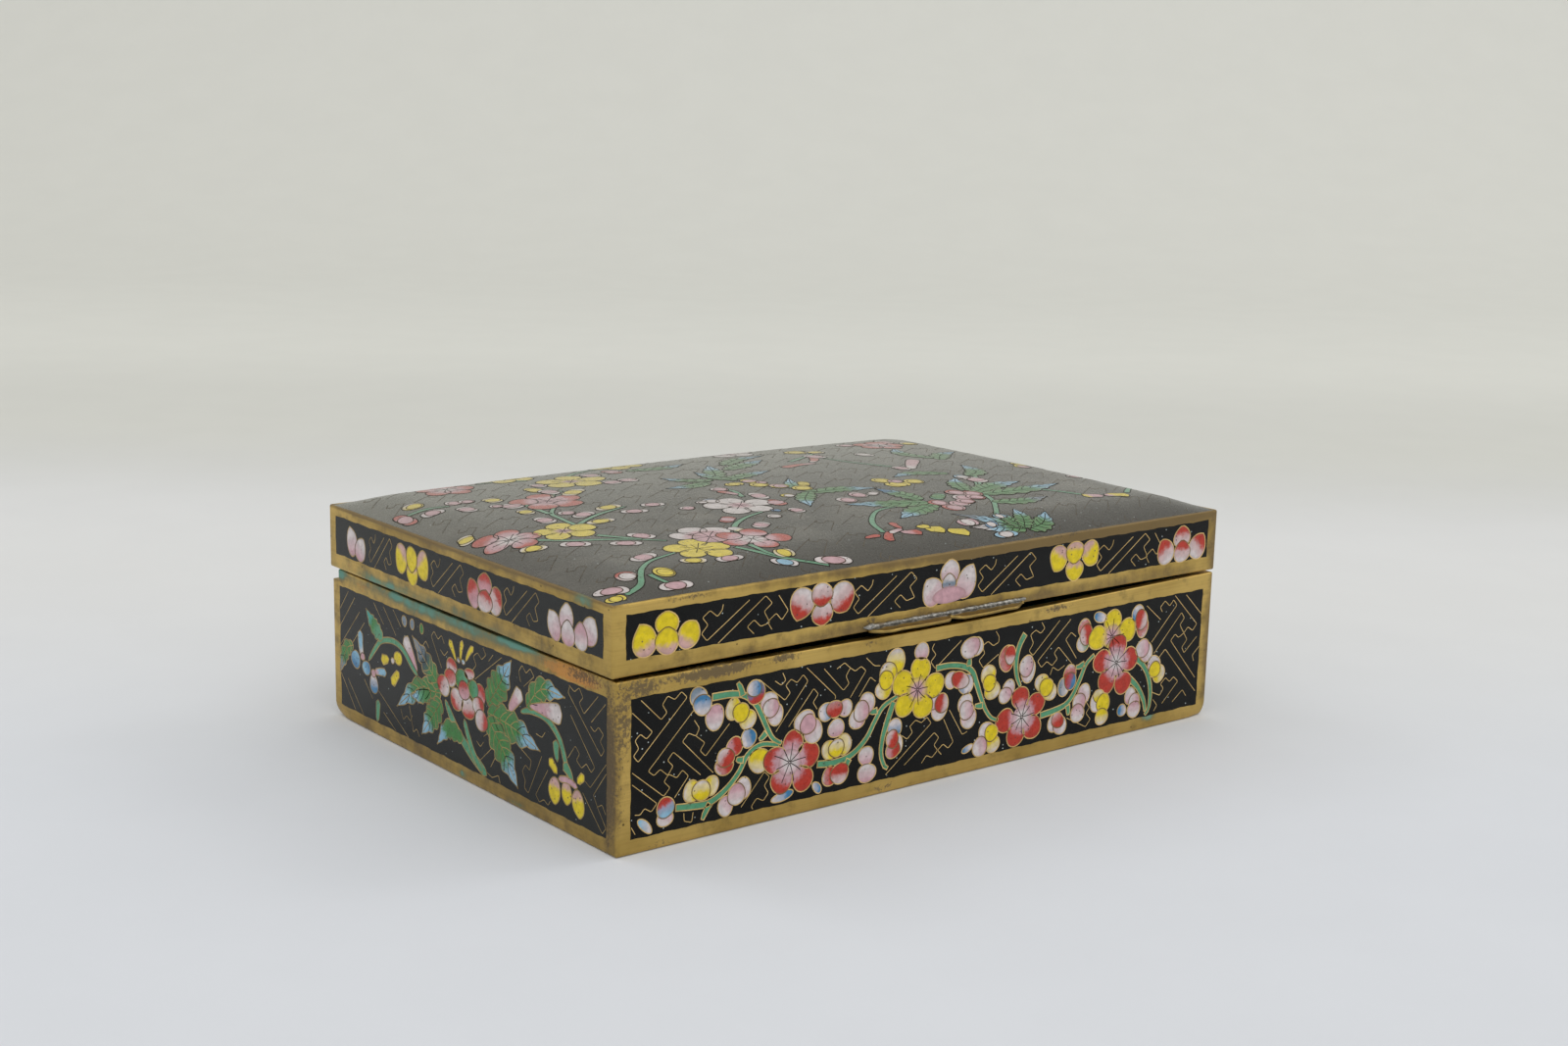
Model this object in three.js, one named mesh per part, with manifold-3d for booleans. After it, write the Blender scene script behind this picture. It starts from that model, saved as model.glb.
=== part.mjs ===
// A rectangular cloisonne enamel box with a low domed lid, a tube hinge along
// the back and a soldered thumb-lift at the front. Millimetres, +Z up.
// The origin is the middle of the underside. The front is -Y, the left end -X.
import * as THREE from 'three';
import { mergeVertices } from 'three/addons/utils/BufferGeometryUtils.js';
import Module from 'manifold-3d';

const wasm = await Module();
wasm.setup();

// Lid
const lidLength = 152;
const lidWidth = 102.2;
const lidBandHeight = 12.8;
const lidWall = 2.2;
const lidRoof = 1.8;
const shoulderReach = 12;
const shoulderRise = 2.4;
const crownRise = 2.8;
const lidRimBow = 0.3;

// Base
const baseHeight = 31.2;
const baseWall = 2.2;
const baseFloor = 2.0;
const lidEndOverhang = 0.7;
const baseProud = 0.4;
const baseRimDip = 0.7;
const footChamfer = 0.8;
const cornerRadius = 1.0;
const lidGap = 0.25;

// Enamel fields let into the brass
const enamelDepth = 0.8;
const topEnamelDepth = 0.6;
const topEdgeLine = 0.5;
const baseSideBorder = 3.0;
const baseLowerBorder = 2.8;
const baseUpperBorder = 3.4;
const lidSideBorder = 2.8;
const lidLowerBorder = 3.1;
const lidUpperBorder = 1.9;

// Tube hinge
const barrelRadius = 1.2;
const barrelClearance = 0.2;
const barrelInset = 0.1;
const bedThickness = 1.4;
const bedHeight = 6;
const knuckleCount = 5;
const knuckleGap = 0.4;
const hingeEndInset = 1.5;
const footWidth = 1.6;
const pinRadius = 0.6;
const pinClearance = 0.08;

// Thumb-lift
const liftLength = 40;
const liftReach = 2.8;
const liftThickness = 1.0;
const liftRaise = 0.2;
const liftEndCurve = 4;
const liftNotchDepth = 1.9;
const liftNotchWidth = 3.4;

// Facets
const longSideSteps = 12;
const shortSideSteps = 8;
const cornerSteps = 2;
const shoulderSteps = 5;
const crownSteps = 4;
const roundSteps = 20;
const smallestRadius = 0.2;
const cutSpare = 1;

// Places that follow from the sizes
const baseLength = lidLength - 2 * lidEndOverhang;
const baseWidth = lidWidth + 2 * baseProud;
const lidBottom = baseHeight + lidGap;
const lidEdgeTop = lidBottom + lidBandHeight;
const baseBack = baseWidth / 2;
const hingeY = baseBack - barrelInset - barrelRadius;
const hingeZ = lidBottom - barrelClearance - barrelRadius;
const rebateFloor = hingeZ - barrelRadius - barrelClearance;
const rebateInner = hingeY - barrelRadius - barrelClearance;
const hingeLength = baseLength - 2 * hingeEndInset;

const brass = new THREE.MeshStandardMaterial({ color: 0xb08c3e, roughness: 0.38, metalness: 1 });
const darkBrass = new THREE.MeshStandardMaterial({ color: 0x7d6634, roughness: 0.5, metalness: 1 });
const enamel = new THREE.MeshStandardMaterial({ color: 0x1b1e22, roughness: 0.25, metalness: 0 });

// Height of the domed lid above its edge: a rolled shoulder and a low crown.
function shoulder(distance) {
  const short = Math.max(0, 1 - distance / shoulderReach);
  return 1 - short * short;
}

function domeHeight(x, y) {
  const u = (2 * x) / lidLength;
  const v = (2 * y) / lidWidth;
  const rolled = shoulder(lidLength / 2 - Math.abs(x)) * shoulder(lidWidth / 2 - Math.abs(y));
  return shoulderRise * rolled + crownRise * (1 - u * u) * (1 - v * v);
}

// How far the front rim leaves a straight line, from 0 at the ends to 1 in the middle.
function frontBend(x, y, length, width, wall) {
  const onFront = y < -width / 2 + 1.5 * wall;
  return onFront ? Math.sin(Math.PI * (x / length + 0.5)) : 0;
}

// Points around a rectangle with round corners, set in from the full size.
function roundedRing(length, width, inset) {
  const halfX = length / 2 - inset;
  const halfY = width / 2 - inset;
  const radius = Math.max(cornerRadius - inset, smallestRadius);
  const corners = [[1, -1, -90], [1, 1, 0], [-1, 1, 90], [-1, -1, 180]];
  const points = [];
  corners.forEach(([signX, signY, startAngle], side) => {
    const centre = [signX * (halfX - radius), signY * (halfY - radius)];
    for (let step = 0; step <= cornerSteps; step++) {
      const angle = THREE.MathUtils.degToRad(startAngle + (90 * step) / cornerSteps);
      points.push([centre[0] + radius * Math.cos(angle), centre[1] + radius * Math.sin(angle)]);
    }
    const [nextX, nextY, nextAngle] = corners[(side + 1) % 4];
    const angle = THREE.MathUtils.degToRad(nextAngle);
    const end = [
      nextX * (halfX - radius) + radius * Math.cos(angle),
      nextY * (halfY - radius) + radius * Math.sin(angle),
    ];
    const start = points[points.length - 1];
    const steps = side % 2 === 0 ? shortSideSteps : longSideSteps;
    for (let step = 1; step < steps; step++) {
      const share = step / steps;
      points.push([start[0] + (end[0] - start[0]) * share, start[1] + (end[1] - start[1]) * share]);
    }
  });
  return points;
}

// A ring of the outline at one inset, raised to the height that a function gives.
function ringAt(length, width, inset, heightAt) {
  return roundedRing(length, width, inset).map(([x, y]) => [x, y, heightAt(x, y)]);
}

// A closed skin through a list of rings, from the first tip to the last one. Its facets split
// the same way whichever side of a surface it covers, so two skins can meet face to face.
function skin(firstTip, rings, lastTip) {
  const count = rings[0].length;
  const positions = [firstTip, ...rings.flat(), lastTip].flat();
  const last = positions.length / 3 - 1;
  const index = [];
  for (let k = 0; k < count; k++) {
    const next = (k + 1) % count;
    index.push(0, 1 + next, 1 + k);
    index.push(last, last - count + k, last - count + next);
    for (let ring = 0; ring + 1 < rings.length; ring++) {
      const a = 1 + ring * count + k;
      const b = 1 + ring * count + next;
      const c = b + count;
      const d = a + count;
      const widening = rings[ring + 1][0][0] > rings[ring][0][0];
      index.push(...(widening ? [a, b, d, b, c, d] : [a, b, c, a, c, d]));
    }
  }
  const geometry = new THREE.BufferGeometry();
  geometry.setAttribute('position', new THREE.Float32BufferAttribute(positions, 3));
  geometry.setIndex(index);
  return geometry;
}

function toSolid(geometry) {
  const bare = geometry.clone();
  bare.deleteAttribute('normal');
  bare.deleteAttribute('uv');
  const merged = mergeVertices(bare, 1e-4);
  return new wasm.Manifold(new wasm.Mesh({
    numProp: 3,
    vertProperties: new Float32Array(merged.attributes.position.array),
    triVerts: new Uint32Array(merged.index.array),
  }));
}

function toGeometry(solid) {
  const mesh = solid.getMesh();
  const geometry = new THREE.BufferGeometry();
  geometry.setAttribute('position', new THREE.Float32BufferAttribute(mesh.vertProperties, 3));
  geometry.setIndex(Array.from(mesh.triVerts));
  return geometry;
}

// A box between two corners.
function block(low, high) {
  const size = high.map((value, axis) => value - low[axis]);
  const geometry = new THREE.BoxGeometry(...size);
  geometry.translate(...high.map((value, axis) => (value + low[axis]) / 2));
  return geometry;
}

// A round bar along X between two ends, on the hinge axis.
function bar(startX, endX, radius) {
  const geometry = new THREE.CylinderGeometry(radius, radius, endX - startX, roundSteps);
  geometry.rotateZ(Math.PI / 2);
  geometry.translate((startX + endX) / 2, hingeY, hingeZ);
  return geometry;
}

// The four enamel fields around a wall: front, back, left end and right end.
// A field is a shallow block let in from the outer face, and grow lengthens it outwards.
function sideFields(length, width, low, high, border, grow) {
  const halfX = length / 2;
  const halfY = width / 2;
  return {
    front: block([-halfX + border, -halfY - grow, low], [halfX - border, -halfY + enamelDepth, high]),
    back: block([-halfX + border, halfY - enamelDepth, low], [halfX - border, halfY + grow, high]),
    left: block([-halfX - grow, -halfY + border, low], [-halfX + enamelDepth, halfY - border, high]),
    right: block([halfX - enamelDepth, -halfY + border, low], [halfX + grow, halfY - border, high]),
  };
}

function baseFields(grow) {
  const high = baseHeight - baseUpperBorder;
  return sideFields(baseLength, baseWidth, baseLowerBorder, high, baseSideBorder, grow);
}

function lidFields(grow) {
  const low = lidBottom + lidLowerBorder;
  const high = lidEdgeTop - lidUpperBorder;
  return sideFields(lidLength, lidWidth, low, high, lidSideBorder, grow);
}

function cutFields(solid, fields) {
  return Object.values(fields).reduce((rest, field) => rest.subtract(toSolid(field)), solid);
}

// The open base: a tray with a rebate for the hinge along its upper back edge.
function baseBody() {
  const rim = (x, y) => baseHeight - baseRimDip * frontBend(x, y, baseLength, baseWidth, baseWall);
  const ring = (inset, heightAt) => ringAt(baseLength, baseWidth, inset, heightAt);
  const tray = skin([0, 0, 0], [
    ring(footChamfer, () => 0),
    ring(0, () => footChamfer),
    ring(0, rim),
    ring(baseWall, rim),
    ring(baseWall, () => baseFloor),
  ], [0, 0, baseFloor]);
  const innerX = baseLength / 2 - baseWall / 2;
  const bed = block(
    [-innerX, rebateInner - bedThickness, baseHeight - bedHeight],
    [innerX, baseBack - baseWall / 2, baseHeight],
  );
  const rebate = block(
    [-baseLength / 2 - cutSpare, rebateInner, rebateFloor],
    [baseLength / 2 + cutSpare, baseBack + cutSpare, baseHeight + cutSpare],
  );
  const solid = toSolid(tray).add(toSolid(bed)).subtract(toSolid(rebate));
  return toGeometry(cutFields(solid, baseFields(cutSpare)));
}

// Insets of the rings that carry the dome: close on the shoulder, wide on the crown.
function domeInsets(start) {
  const insets = [];
  for (let step = 1; step <= shoulderSteps; step++) {
    insets.push(start + ((shoulderReach - start) * step) / shoulderSteps);
  }
  const middle = lidWidth / 2;
  for (let step = 1; step < crownSteps; step++) {
    insets.push(shoulderReach + ((middle - shoulderReach) * step) / crownSteps);
  }
  return insets;
}

function domeRings(start, drop) {
  const heightAt = (x, y) => lidEdgeTop + domeHeight(x, y) - drop;
  const insets = [start, ...domeInsets(start)];
  return insets.map((inset) => ringAt(lidLength, lidWidth, inset, heightAt));
}

function domeTip(drop) {
  return [0, 0, lidEdgeTop + domeHeight(0, 0) - drop];
}

// The hollow lid: a domed roof over a plain band, open below.
function lidBody() {
  const rim = (x, y) => lidBottom + lidRimBow * frontBend(x, y, lidLength, lidWidth, lidWall);
  const ring = (inset, heightAt) => ringAt(lidLength, lidWidth, inset, heightAt);
  const topAt = (x, y) => lidEdgeTop + domeHeight(x, y);
  const hull = skin(domeTip(lidRoof), [
    ...domeRings(lidWall, lidRoof).reverse(),
    ring(lidWall, rim),
    ring(0, rim),
    ring(0, () => lidEdgeTop),
    ring(topEdgeLine, topAt),
    ...domeRings(topEdgeLine, topEnamelDepth),
  ], domeTip(topEnamelDepth));
  return toGeometry(cutFields(toSolid(hull), lidFields(cutSpare)));
}

// The enamel that fills the lid's domed top, inside its thin brass edge line.
function lidTopEnamel() {
  return skin(domeTip(topEnamelDepth), [
    ...domeRings(topEdgeLine, topEnamelDepth).reverse(),
    ...domeRings(topEdgeLine, 0),
  ], domeTip(0));
}

// One knuckle of the hinge, with a foot that stands on the base or hangs from the lid.
function knuckle(startX, endX, onBase) {
  const bore = onBase ? pinRadius : pinRadius + pinClearance;
  const footEnd = onBase ? rebateFloor : lidBottom;
  const foot = block(
    [startX, hingeY - footWidth / 2, Math.min(footEnd, hingeZ)],
    [endX, hingeY + footWidth / 2, Math.max(footEnd, hingeZ)],
  );
  const hole = bar(startX - cutSpare, endX + cutSpare, bore);
  return toGeometry(toSolid(bar(startX, endX, barrelRadius)).add(toSolid(foot)).subtract(toSolid(hole)));
}

// The thumb-lift seen from above: a bracket with curved ends and a notch in the middle.
function thumbLift() {
  const half = liftLength / 2;
  const notch = liftNotchWidth / 2;
  const outline = new THREE.Shape();
  outline.moveTo(-half, 0);
  outline.quadraticCurveTo(-half, -liftReach, -half + liftEndCurve, -liftReach);
  outline.lineTo(-notch, -liftReach);
  outline.quadraticCurveTo(0, -liftReach, 0, -liftReach + liftNotchDepth);
  outline.quadraticCurveTo(0, -liftReach, notch, -liftReach);
  outline.lineTo(half - liftEndCurve, -liftReach);
  outline.quadraticCurveTo(half, -liftReach, half, 0);
  const options = { depth: liftThickness, bevelEnabled: false, curveSegments: 6 };
  const geometry = new THREE.ExtrudeGeometry(outline, options);
  geometry.translate(0, -lidWidth / 2, lidBottom + liftRaise);
  return geometry;
}

const box = new THREE.Group();

function addPiece(name, geometry, material) {
  const mesh = new THREE.Mesh(geometry, material);
  mesh.name = name;
  box.add(mesh);
}

addPiece('base_body', baseBody(), brass);
addPiece('lid_body', lidBody(), brass);
Object.entries(baseFields(0)).forEach(([side, geometry]) => addPiece(`base_${side}_enamel`, geometry, enamel));
Object.entries(lidFields(0)).forEach(([side, geometry]) => addPiece(`lid_${side}_enamel`, geometry, enamel));
addPiece('lid_top_enamel', lidTopEnamel(), enamel);
addPiece('thumb_lift', thumbLift(), brass);

const knucklePitch = hingeLength / knuckleCount;
for (let k = 0; k < knuckleCount; k++) {
  const onBase = k % 2 === 0;
  const startX = -hingeLength / 2 + k * knucklePitch + knuckleGap / 2;
  const endX = startX + knucklePitch - knuckleGap;
  const name = `${onBase ? 'base' : 'lid'}_hinge_knuckle_${Math.floor(k / 2) + 1}`;
  addPiece(name, knuckle(startX, endX, onBase), darkBrass);
}
addPiece('hinge_pin', bar(-hingeLength / 2, hingeLength / 2, pinRadius), darkBrass);

export default box;
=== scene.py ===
import math
import random

import bmesh
import bpy
import numpy as np
from mathutils import Matrix, Vector


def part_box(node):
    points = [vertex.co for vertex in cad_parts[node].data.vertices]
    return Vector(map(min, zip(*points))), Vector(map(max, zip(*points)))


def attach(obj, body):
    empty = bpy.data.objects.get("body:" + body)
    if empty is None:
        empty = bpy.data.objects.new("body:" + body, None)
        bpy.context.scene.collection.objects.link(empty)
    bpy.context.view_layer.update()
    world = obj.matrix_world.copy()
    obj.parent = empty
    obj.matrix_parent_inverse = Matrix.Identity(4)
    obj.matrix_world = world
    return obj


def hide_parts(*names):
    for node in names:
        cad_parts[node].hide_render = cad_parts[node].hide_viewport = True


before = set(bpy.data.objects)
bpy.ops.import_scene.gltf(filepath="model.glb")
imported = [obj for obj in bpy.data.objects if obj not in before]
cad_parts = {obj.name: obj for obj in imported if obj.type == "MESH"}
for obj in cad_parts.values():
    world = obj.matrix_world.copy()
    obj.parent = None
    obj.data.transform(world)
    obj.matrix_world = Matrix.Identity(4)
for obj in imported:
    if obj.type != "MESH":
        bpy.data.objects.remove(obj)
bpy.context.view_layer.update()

METRE = 1000.0


def box_mm(node):
    """The lowest and highest corner of a node's box, in millimetres."""
    low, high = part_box(node)
    return np.array(low) * METRE, np.array(high) * METRE


# Sizes from the frame
base_low, base_high = box_mm("base_body")
lid_low, lid_high = box_mm("lid_body")
lift_low, lift_high = box_mm("thumb_lift")
pin_low, pin_high = box_mm("hinge_pin")
knuckle_bottom = box_mm("base_hinge_knuckle_1")[0][2]
band_top = box_mm("lid_front_enamel")[1][2]
crown_top = box_mm("lid_top_enamel")[1][2]
base_length = base_high[0] - base_low[0]
base_width = base_high[1] - base_low[1]
base_height = base_high[2]
half_base = base_length / 2
half_depth = base_width / 2
lid_length = lid_high[0] - lid_low[0]
lid_width = lid_high[1] - lid_low[1]
lid_bottom = lid_low[2]
half_lid = lid_length / 2
half_lid_depth = lid_width / 2
hinge_y = (pin_low[1] + pin_high[1]) / 2
hinge_z = (pin_low[2] + pin_high[2]) / 2
pin_radius = (pin_high[2] - pin_low[2]) / 2

# Sizes of the brass
EDGE_LINE = 0.5
UPPER_BORDER = 1.9
SHOULDER_REACH = 12
SHOULDER_RISE = 2.4
BASE_WALL = 2.2
LID_WALL = 2.2
LID_ROOF = 1.8
BASE_FLOOR = 2.0
CORNER = 0.45
BED_THICKNESS = 1.4
BED_HEIGHT = 6
BED_INSET = 1.2

# How far the rims are out of true, and where that starts
RIM_DIP = 0.7
SIDE_DIP = 0.4
RIM_BOW = 0.3
RIM_SINK = 0.06
DIP_START = 27.8
BOW_HEIGHT = 3.1
KNOCK_REACH = 3.0
KNOCK_HEIGHT = 3.2

# Sizes of the enamel and its wires
WALL_SINK = 0.07
DOME_SINK = 0.16
GROUND_RISE = 0.015
GROUND_DEPTH = 0.2
FIRST_RISE = 0.006
LEVEL_RISE = 0.004
DOME_FIRST_RISE = 0.03
DOME_LEVEL_RISE = 0.009
PLATE = 0.09
WIRE_PROUD = 0.002
WIRE_DEPTH = 0.03
WIRE_ROUNDING = 0.45
WIRE = 0.2
RIB_WIRE = 0.18
FINE_WIRE = 0.17
FRET_WIRE = 0.145
DOME_FRET_WIRE = 0.13
FRET_MARGIN = 0.1
FRET_BEND = 0.35
STAMEN_START = 0.15

# Shapes of the flowers and stems: points in an oval, and shares of a flower's or stem's size
OVAL_POINTS = 22
OVAL_WOBBLE = 0.03
FLAT_SHARE = 0.62
EYE_SHARE = 0.37
STAMEN_SHARE = 0.54
STEM_TAPER = 0.55

# Shape of the thumb-lift and its solder
LIFT_END_CURVE = 5.2
LIFT_TAPER = 4.5
LIFT_NOTCH_DEPTH = 0.62
LIFT_NOTCH_WIDTH = 1.1
LIFT_LIP = 0.36
LEAST_REACH = 0.22
SOLDER_SIZE = 0.52

lid_edge_top = band_top + UPPER_BORDER
crown_rise = crown_top - lid_edge_top - SHOULDER_RISE

# Enamel colours as a painter would name them, in sRGB from 0 to 255
PALETTE = {
    "W": (208, 199, 199),
    "P": (196, 154, 163),
    "R": (176, 50, 34),
    "Y": (218, 195, 20),
    "B": (58, 122, 168),
    "L": (134, 180, 206),
    "G": (80, 146, 110),
    "D": (54, 122, 54),
    "T": (58, 150, 140),
    "K": (118, 132, 146),
    "Z": (44, 68, 74),
}


def linear(colour):
    """A colour as light, from one as it is named on a screen."""
    part = np.array(colour, float) / 255
    return np.where(part <= 0.04045, part / 12.92, ((part + 0.055) / 1.055) ** 2.4)


TINTS = {name: linear(colour) for name, colour in PALETTE.items()}

# How much of the second tint is in the blend between two tints
EVEN_BLEND = 0.5
RED_BLEND = 0.28
PINK_YELLOW_BLEND = 0.15

# How much further the second tint of a bud reaches, where the tints don't share it evenly
LEADS = {"PY": 0.24, "YW": -0.18, "WY": 0.18, "RW": -0.16}

# The same on the long walls of the base, where the red covers more of a bud
PRUNUS_LEADS = {**LEADS, "WR": 0.2, "PR": 0.15, "RW": -0.25}


def points_of(text):
    """Points written as 'u,v u,v'."""
    return np.array([[float(part) for part in word.split(",")] for word in text.split()])


def rows_of(text):
    """A table written as rows of numbers and names of tints."""
    rows = [line.split() for line in text.strip().splitlines()]
    return [[word if word.isalpha() else float(word) for word in row] for row in rows]


def shoulder(distance):
    """From 0 at the edge of the lid to 1 where its rolled shoulder ends."""
    short = np.clip(1 - distance / SHOULDER_REACH, 0, None)
    return 1 - short * short


def dome(x, y):
    """Height of the lid's outer surface above its edge."""
    u = 2 * x / lid_length
    v = 2 * y / lid_width
    rolled = shoulder(lid_length / 2 - np.abs(x)) * shoulder(lid_width / 2 - np.abs(y))
    return SHOULDER_RISE * rolled + crown_rise * (1 - u * u) * (1 - v * v)


class Skin:
    """Collects points, faces and the values at each point, and makes one mesh of them."""

    def __init__(self):
        self.points = []
        self.normals = []
        self.faces = []
        self.values = {}
        self.count = 0

    def add(self, points, normals, faces, **values):
        """Adds a closed form, with its values at each of its points."""
        for name, value in values.items():
            self.values.setdefault(name, []).append(np.asarray(value, float))
        self.points.append(points)
        self.normals.append(normals)
        self.faces += [[corner + self.count for corner in face] for face in faces]
        self.count += len(points)

    def piece(self, name, body, slot, material):
        """The mesh of all that was added, as a piece of the scene."""
        mesh = bpy.data.meshes.new(name)
        points = np.concatenate(self.points) / METRE
        mesh.from_pydata(points.tolist(), [], self.faces)
        mesh.shade_smooth()
        for key, parts in self.values.items():
            flat = np.concatenate(parts)
            if flat.ndim == 1:
                layer = mesh.attributes.new(key, "FLOAT", "POINT")
                layer.data.foreach_set("value", flat)
            else:
                layer = mesh.attributes.new(key, "FLOAT_COLOR", "POINT")
                full = np.concatenate([flat, np.ones((len(flat), 1))], axis=1)
                layer.data.foreach_set("color", full.ravel())
        mesh.normals_split_custom_set_from_vertices(np.concatenate(self.normals).tolist())
        return finished(mesh, name, body, material)


def finished(mesh, name, body, material):
    """A piece of the scene, with its material and body."""
    piece = bpy.data.objects.new(name, mesh)
    bpy.context.scene.collection.objects.link(piece)
    mesh.materials.append(material)
    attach(piece, body)
    return piece


class Panel:
    """One enamel field and what lies on it.

    Its cells and wires stand first above the ground, and one step more for each cell below.
    """

    def __init__(self, name, body, origin, right, up, out, field, first, step, crowned=False):
        self.name = name
        self.body = body
        self.origin = np.array(origin, float)
        self.right = np.array(right, float)
        self.up = np.array(up, float)
        self.out = np.array(out, float)
        self.field = field
        self.first = first
        self.step = step
        self.crowned = crowned
        self.mirror = None
        self.leads = LEADS
        self.cells = Skin()
        self.wires = Skin()
        self.frets = Skin()
        self.stamens = Skin()
        self.spans = np.empty((0, 4))
        self.rng = random.Random(name)

    def place(self, flat, height):
        """Points in space of flat points, at a height above the enamel ground."""
        flat = np.asarray(flat, float)
        height = np.broadcast_to(np.asarray(height, float), flat.shape[:1])
        points = self.origin + flat[:, :1] * self.right + flat[:, 1:] * self.up
        points = points + height[:, None] * self.out
        if self.crowned:
            points[:, 2] += dome(points[:, 0], points[:, 1])
        return points

    def normals(self, flat):
        """Directions straight out of the field, or out of the dome, at flat points."""
        if not self.crowned:
            return np.tile(self.out, (len(flat), 1))
        step = 0.05
        points = self.place(flat, 0)
        x, y = points[:, 0], points[:, 1]
        slope_x = (dome(x + step, y) - dome(x - step, y)) / (2 * step)
        slope_y = (dome(x, y + step) - dome(x, y - step)) / (2 * step)
        normals = np.stack([-slope_x, -slope_y, np.ones_like(x)], axis=1)
        return normals / np.linalg.norm(normals, axis=1)[:, None]

    def turned(self, flat):
        """Flat points of a drawing, mirrored where the field shows it the other way round."""
        flat = np.array(flat, float)
        if self.mirror is not None:
            flat[:, 0] = self.mirror - flat[:, 0]
        return flat

    def over_cells(self, points):
        """1 where a point lies over a cell that is already there, and else 0."""
        if not len(self.spans):
            return np.zeros(len(points))
        gaps = np.hypot(points[:, :1] - self.spans[:, 0], points[:, 1:] - self.spans[:, 1])
        return (gaps < 1.08 * self.spans[:, 2]).any(axis=1).astype(float)

    def rise_over(self, circles):
        """Height for a new cell: one step above every earlier cell that it touches."""
        level = 0
        for u, v, radius in circles:
            if len(self.spans):
                gap = np.hypot(self.spans[:, 0] - u, self.spans[:, 1] - v)
                touching = self.spans[gap < self.spans[:, 2] + radius]
                if len(touching):
                    level = max(level, int(touching[:, 3].max()) + 1)
        rows = [(u, v, radius, level) for u, v, radius in circles]
        self.spans = np.concatenate([self.spans, rows])
        return self.first + level * self.step


def area_of(outline):
    """The area inside an outline, negative where it runs clockwise."""
    x, y = outline[:, 0], outline[:, 1]
    return 0.5 * np.sum(x * np.roll(y, -1) - y * np.roll(x, -1))


def spline(points, count):
    """Evenly spaced points on a smooth line through the given ones."""
    points = np.asarray(points, float)
    if len(points) == 2:
        share = np.linspace(0, 1, count)[:, None]
        return points[0] + (points[1] - points[0]) * share
    ends = np.concatenate([[2 * points[0] - points[1]], points, [2 * points[-1] - points[-2]]])
    fine = []
    for k in range(1, len(ends) - 2):
        p0, p1, p2, p3 = ends[k - 1 : k + 3]
        t = np.linspace(0, 1, 12, endpoint=False)[:, None]
        fine.append(
            0.5
            * (
                2 * p1
                + (p2 - p0) * t
                + (2 * p0 - 5 * p1 + 4 * p2 - p3) * t**2
                + (3 * p1 - p0 - 3 * p2 + p3) * t**3
            )
        )
    fine = np.concatenate([*fine, [points[-1]]])
    run = np.concatenate([[0], np.cumsum(np.linalg.norm(np.diff(fine, axis=0), axis=1))])
    wanted = np.linspace(0, run[-1], count)
    return np.stack([np.interp(wanted, run, fine[:, axis]) for axis in (0, 1)], axis=1)


def length_of(points):
    """The length of a line through points."""
    return np.linalg.norm(np.diff(points, axis=0), axis=1).sum()


def sideways(points, closed=False):
    """Unit vectors to the left of a line at its points, lengthened where it bends."""
    if closed:
        before = points - np.roll(points, 1, axis=0)
        after = np.roll(points, -1, axis=0) - points
    else:
        steps = np.diff(points, axis=0)
        before = np.concatenate([steps[:1], steps])
        after = np.concatenate([steps, steps[-1:]])
    before = before / np.maximum(np.linalg.norm(before, axis=1), 1e-9)[:, None]
    after = after / np.maximum(np.linalg.norm(after, axis=1), 1e-9)[:, None]
    middle = before + after
    middle = middle / np.maximum(np.linalg.norm(middle, axis=1), 1e-9)[:, None]
    left = np.stack([-middle[:, 1], middle[:, 0]], axis=1)
    square = np.stack([-before[:, 1], before[:, 0]], axis=1)
    mitre = np.clip((left * square).sum(1), 0.6, 1)
    return left / mitre[:, None]


def rounded(points, radius):
    """A line with its corners turned into short curves, as bent wire has."""
    points = np.asarray(points, float)
    line = [points[0]]
    for before, corner, after in zip(points, points[1:], points[2:]):
        back = np.linalg.norm(before - corner)
        ahead = np.linalg.norm(after - corner)
        reach = min(radius, back / 2.2, ahead / 2.2)
        start = corner + (before - corner) / back * reach
        end = corner + (after - corner) / ahead * reach
        for share in (0, 0.33, 0.67, 1):
            line.append((1 - share) ** 2 * start + 2 * share * (1 - share) * corner + share**2 * end)
    line.append(points[-1])
    return np.array(line)


def wire(panel, points, width, height, closed=False, turn=True, skin=None, over=None):
    """A flat wire set on edge in the enamel, ground flush with it.

    turn is for points of a drawing, and over says how much of each point lies on other cells.
    """
    points = panel.turned(points) if turn else np.asarray(points, float)
    count = len(points)
    over = np.zeros(count) if over is None else over
    aside = sideways(points, closed) * width / 2
    left, right = points + aside, points - aside
    deep = height - WIRE_DEPTH
    rings = [panel.place(left, height), panel.place(right, height)]
    rings += [panel.place(right, deep), panel.place(left, deep)]
    normals = panel.normals(points)
    lean = WIRE_ROUNDING * (aside[:, :1] * panel.right + aside[:, 1:] * panel.up) / (width / 2)
    leaning = [normals + lean, normals - lean, normals - lean, normals + lean]
    faces = []
    for k in range(count if closed else count - 1):
        after = (k + 1) % count
        for edge in range(4):
            here = edge * count
            there = (edge + 1) % 4 * count
            faces.append([here + k, there + k, there + after, here + after])
    if not closed:
        faces.append([edge * count for edge in (3, 2, 1, 0)])
        faces.append([edge * count + count - 1 for edge in range(4)])
    skin = skin or panel.wires
    skin.add(np.concatenate(rings), np.concatenate(leaning), faces, over=np.tile(over, 4))


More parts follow.
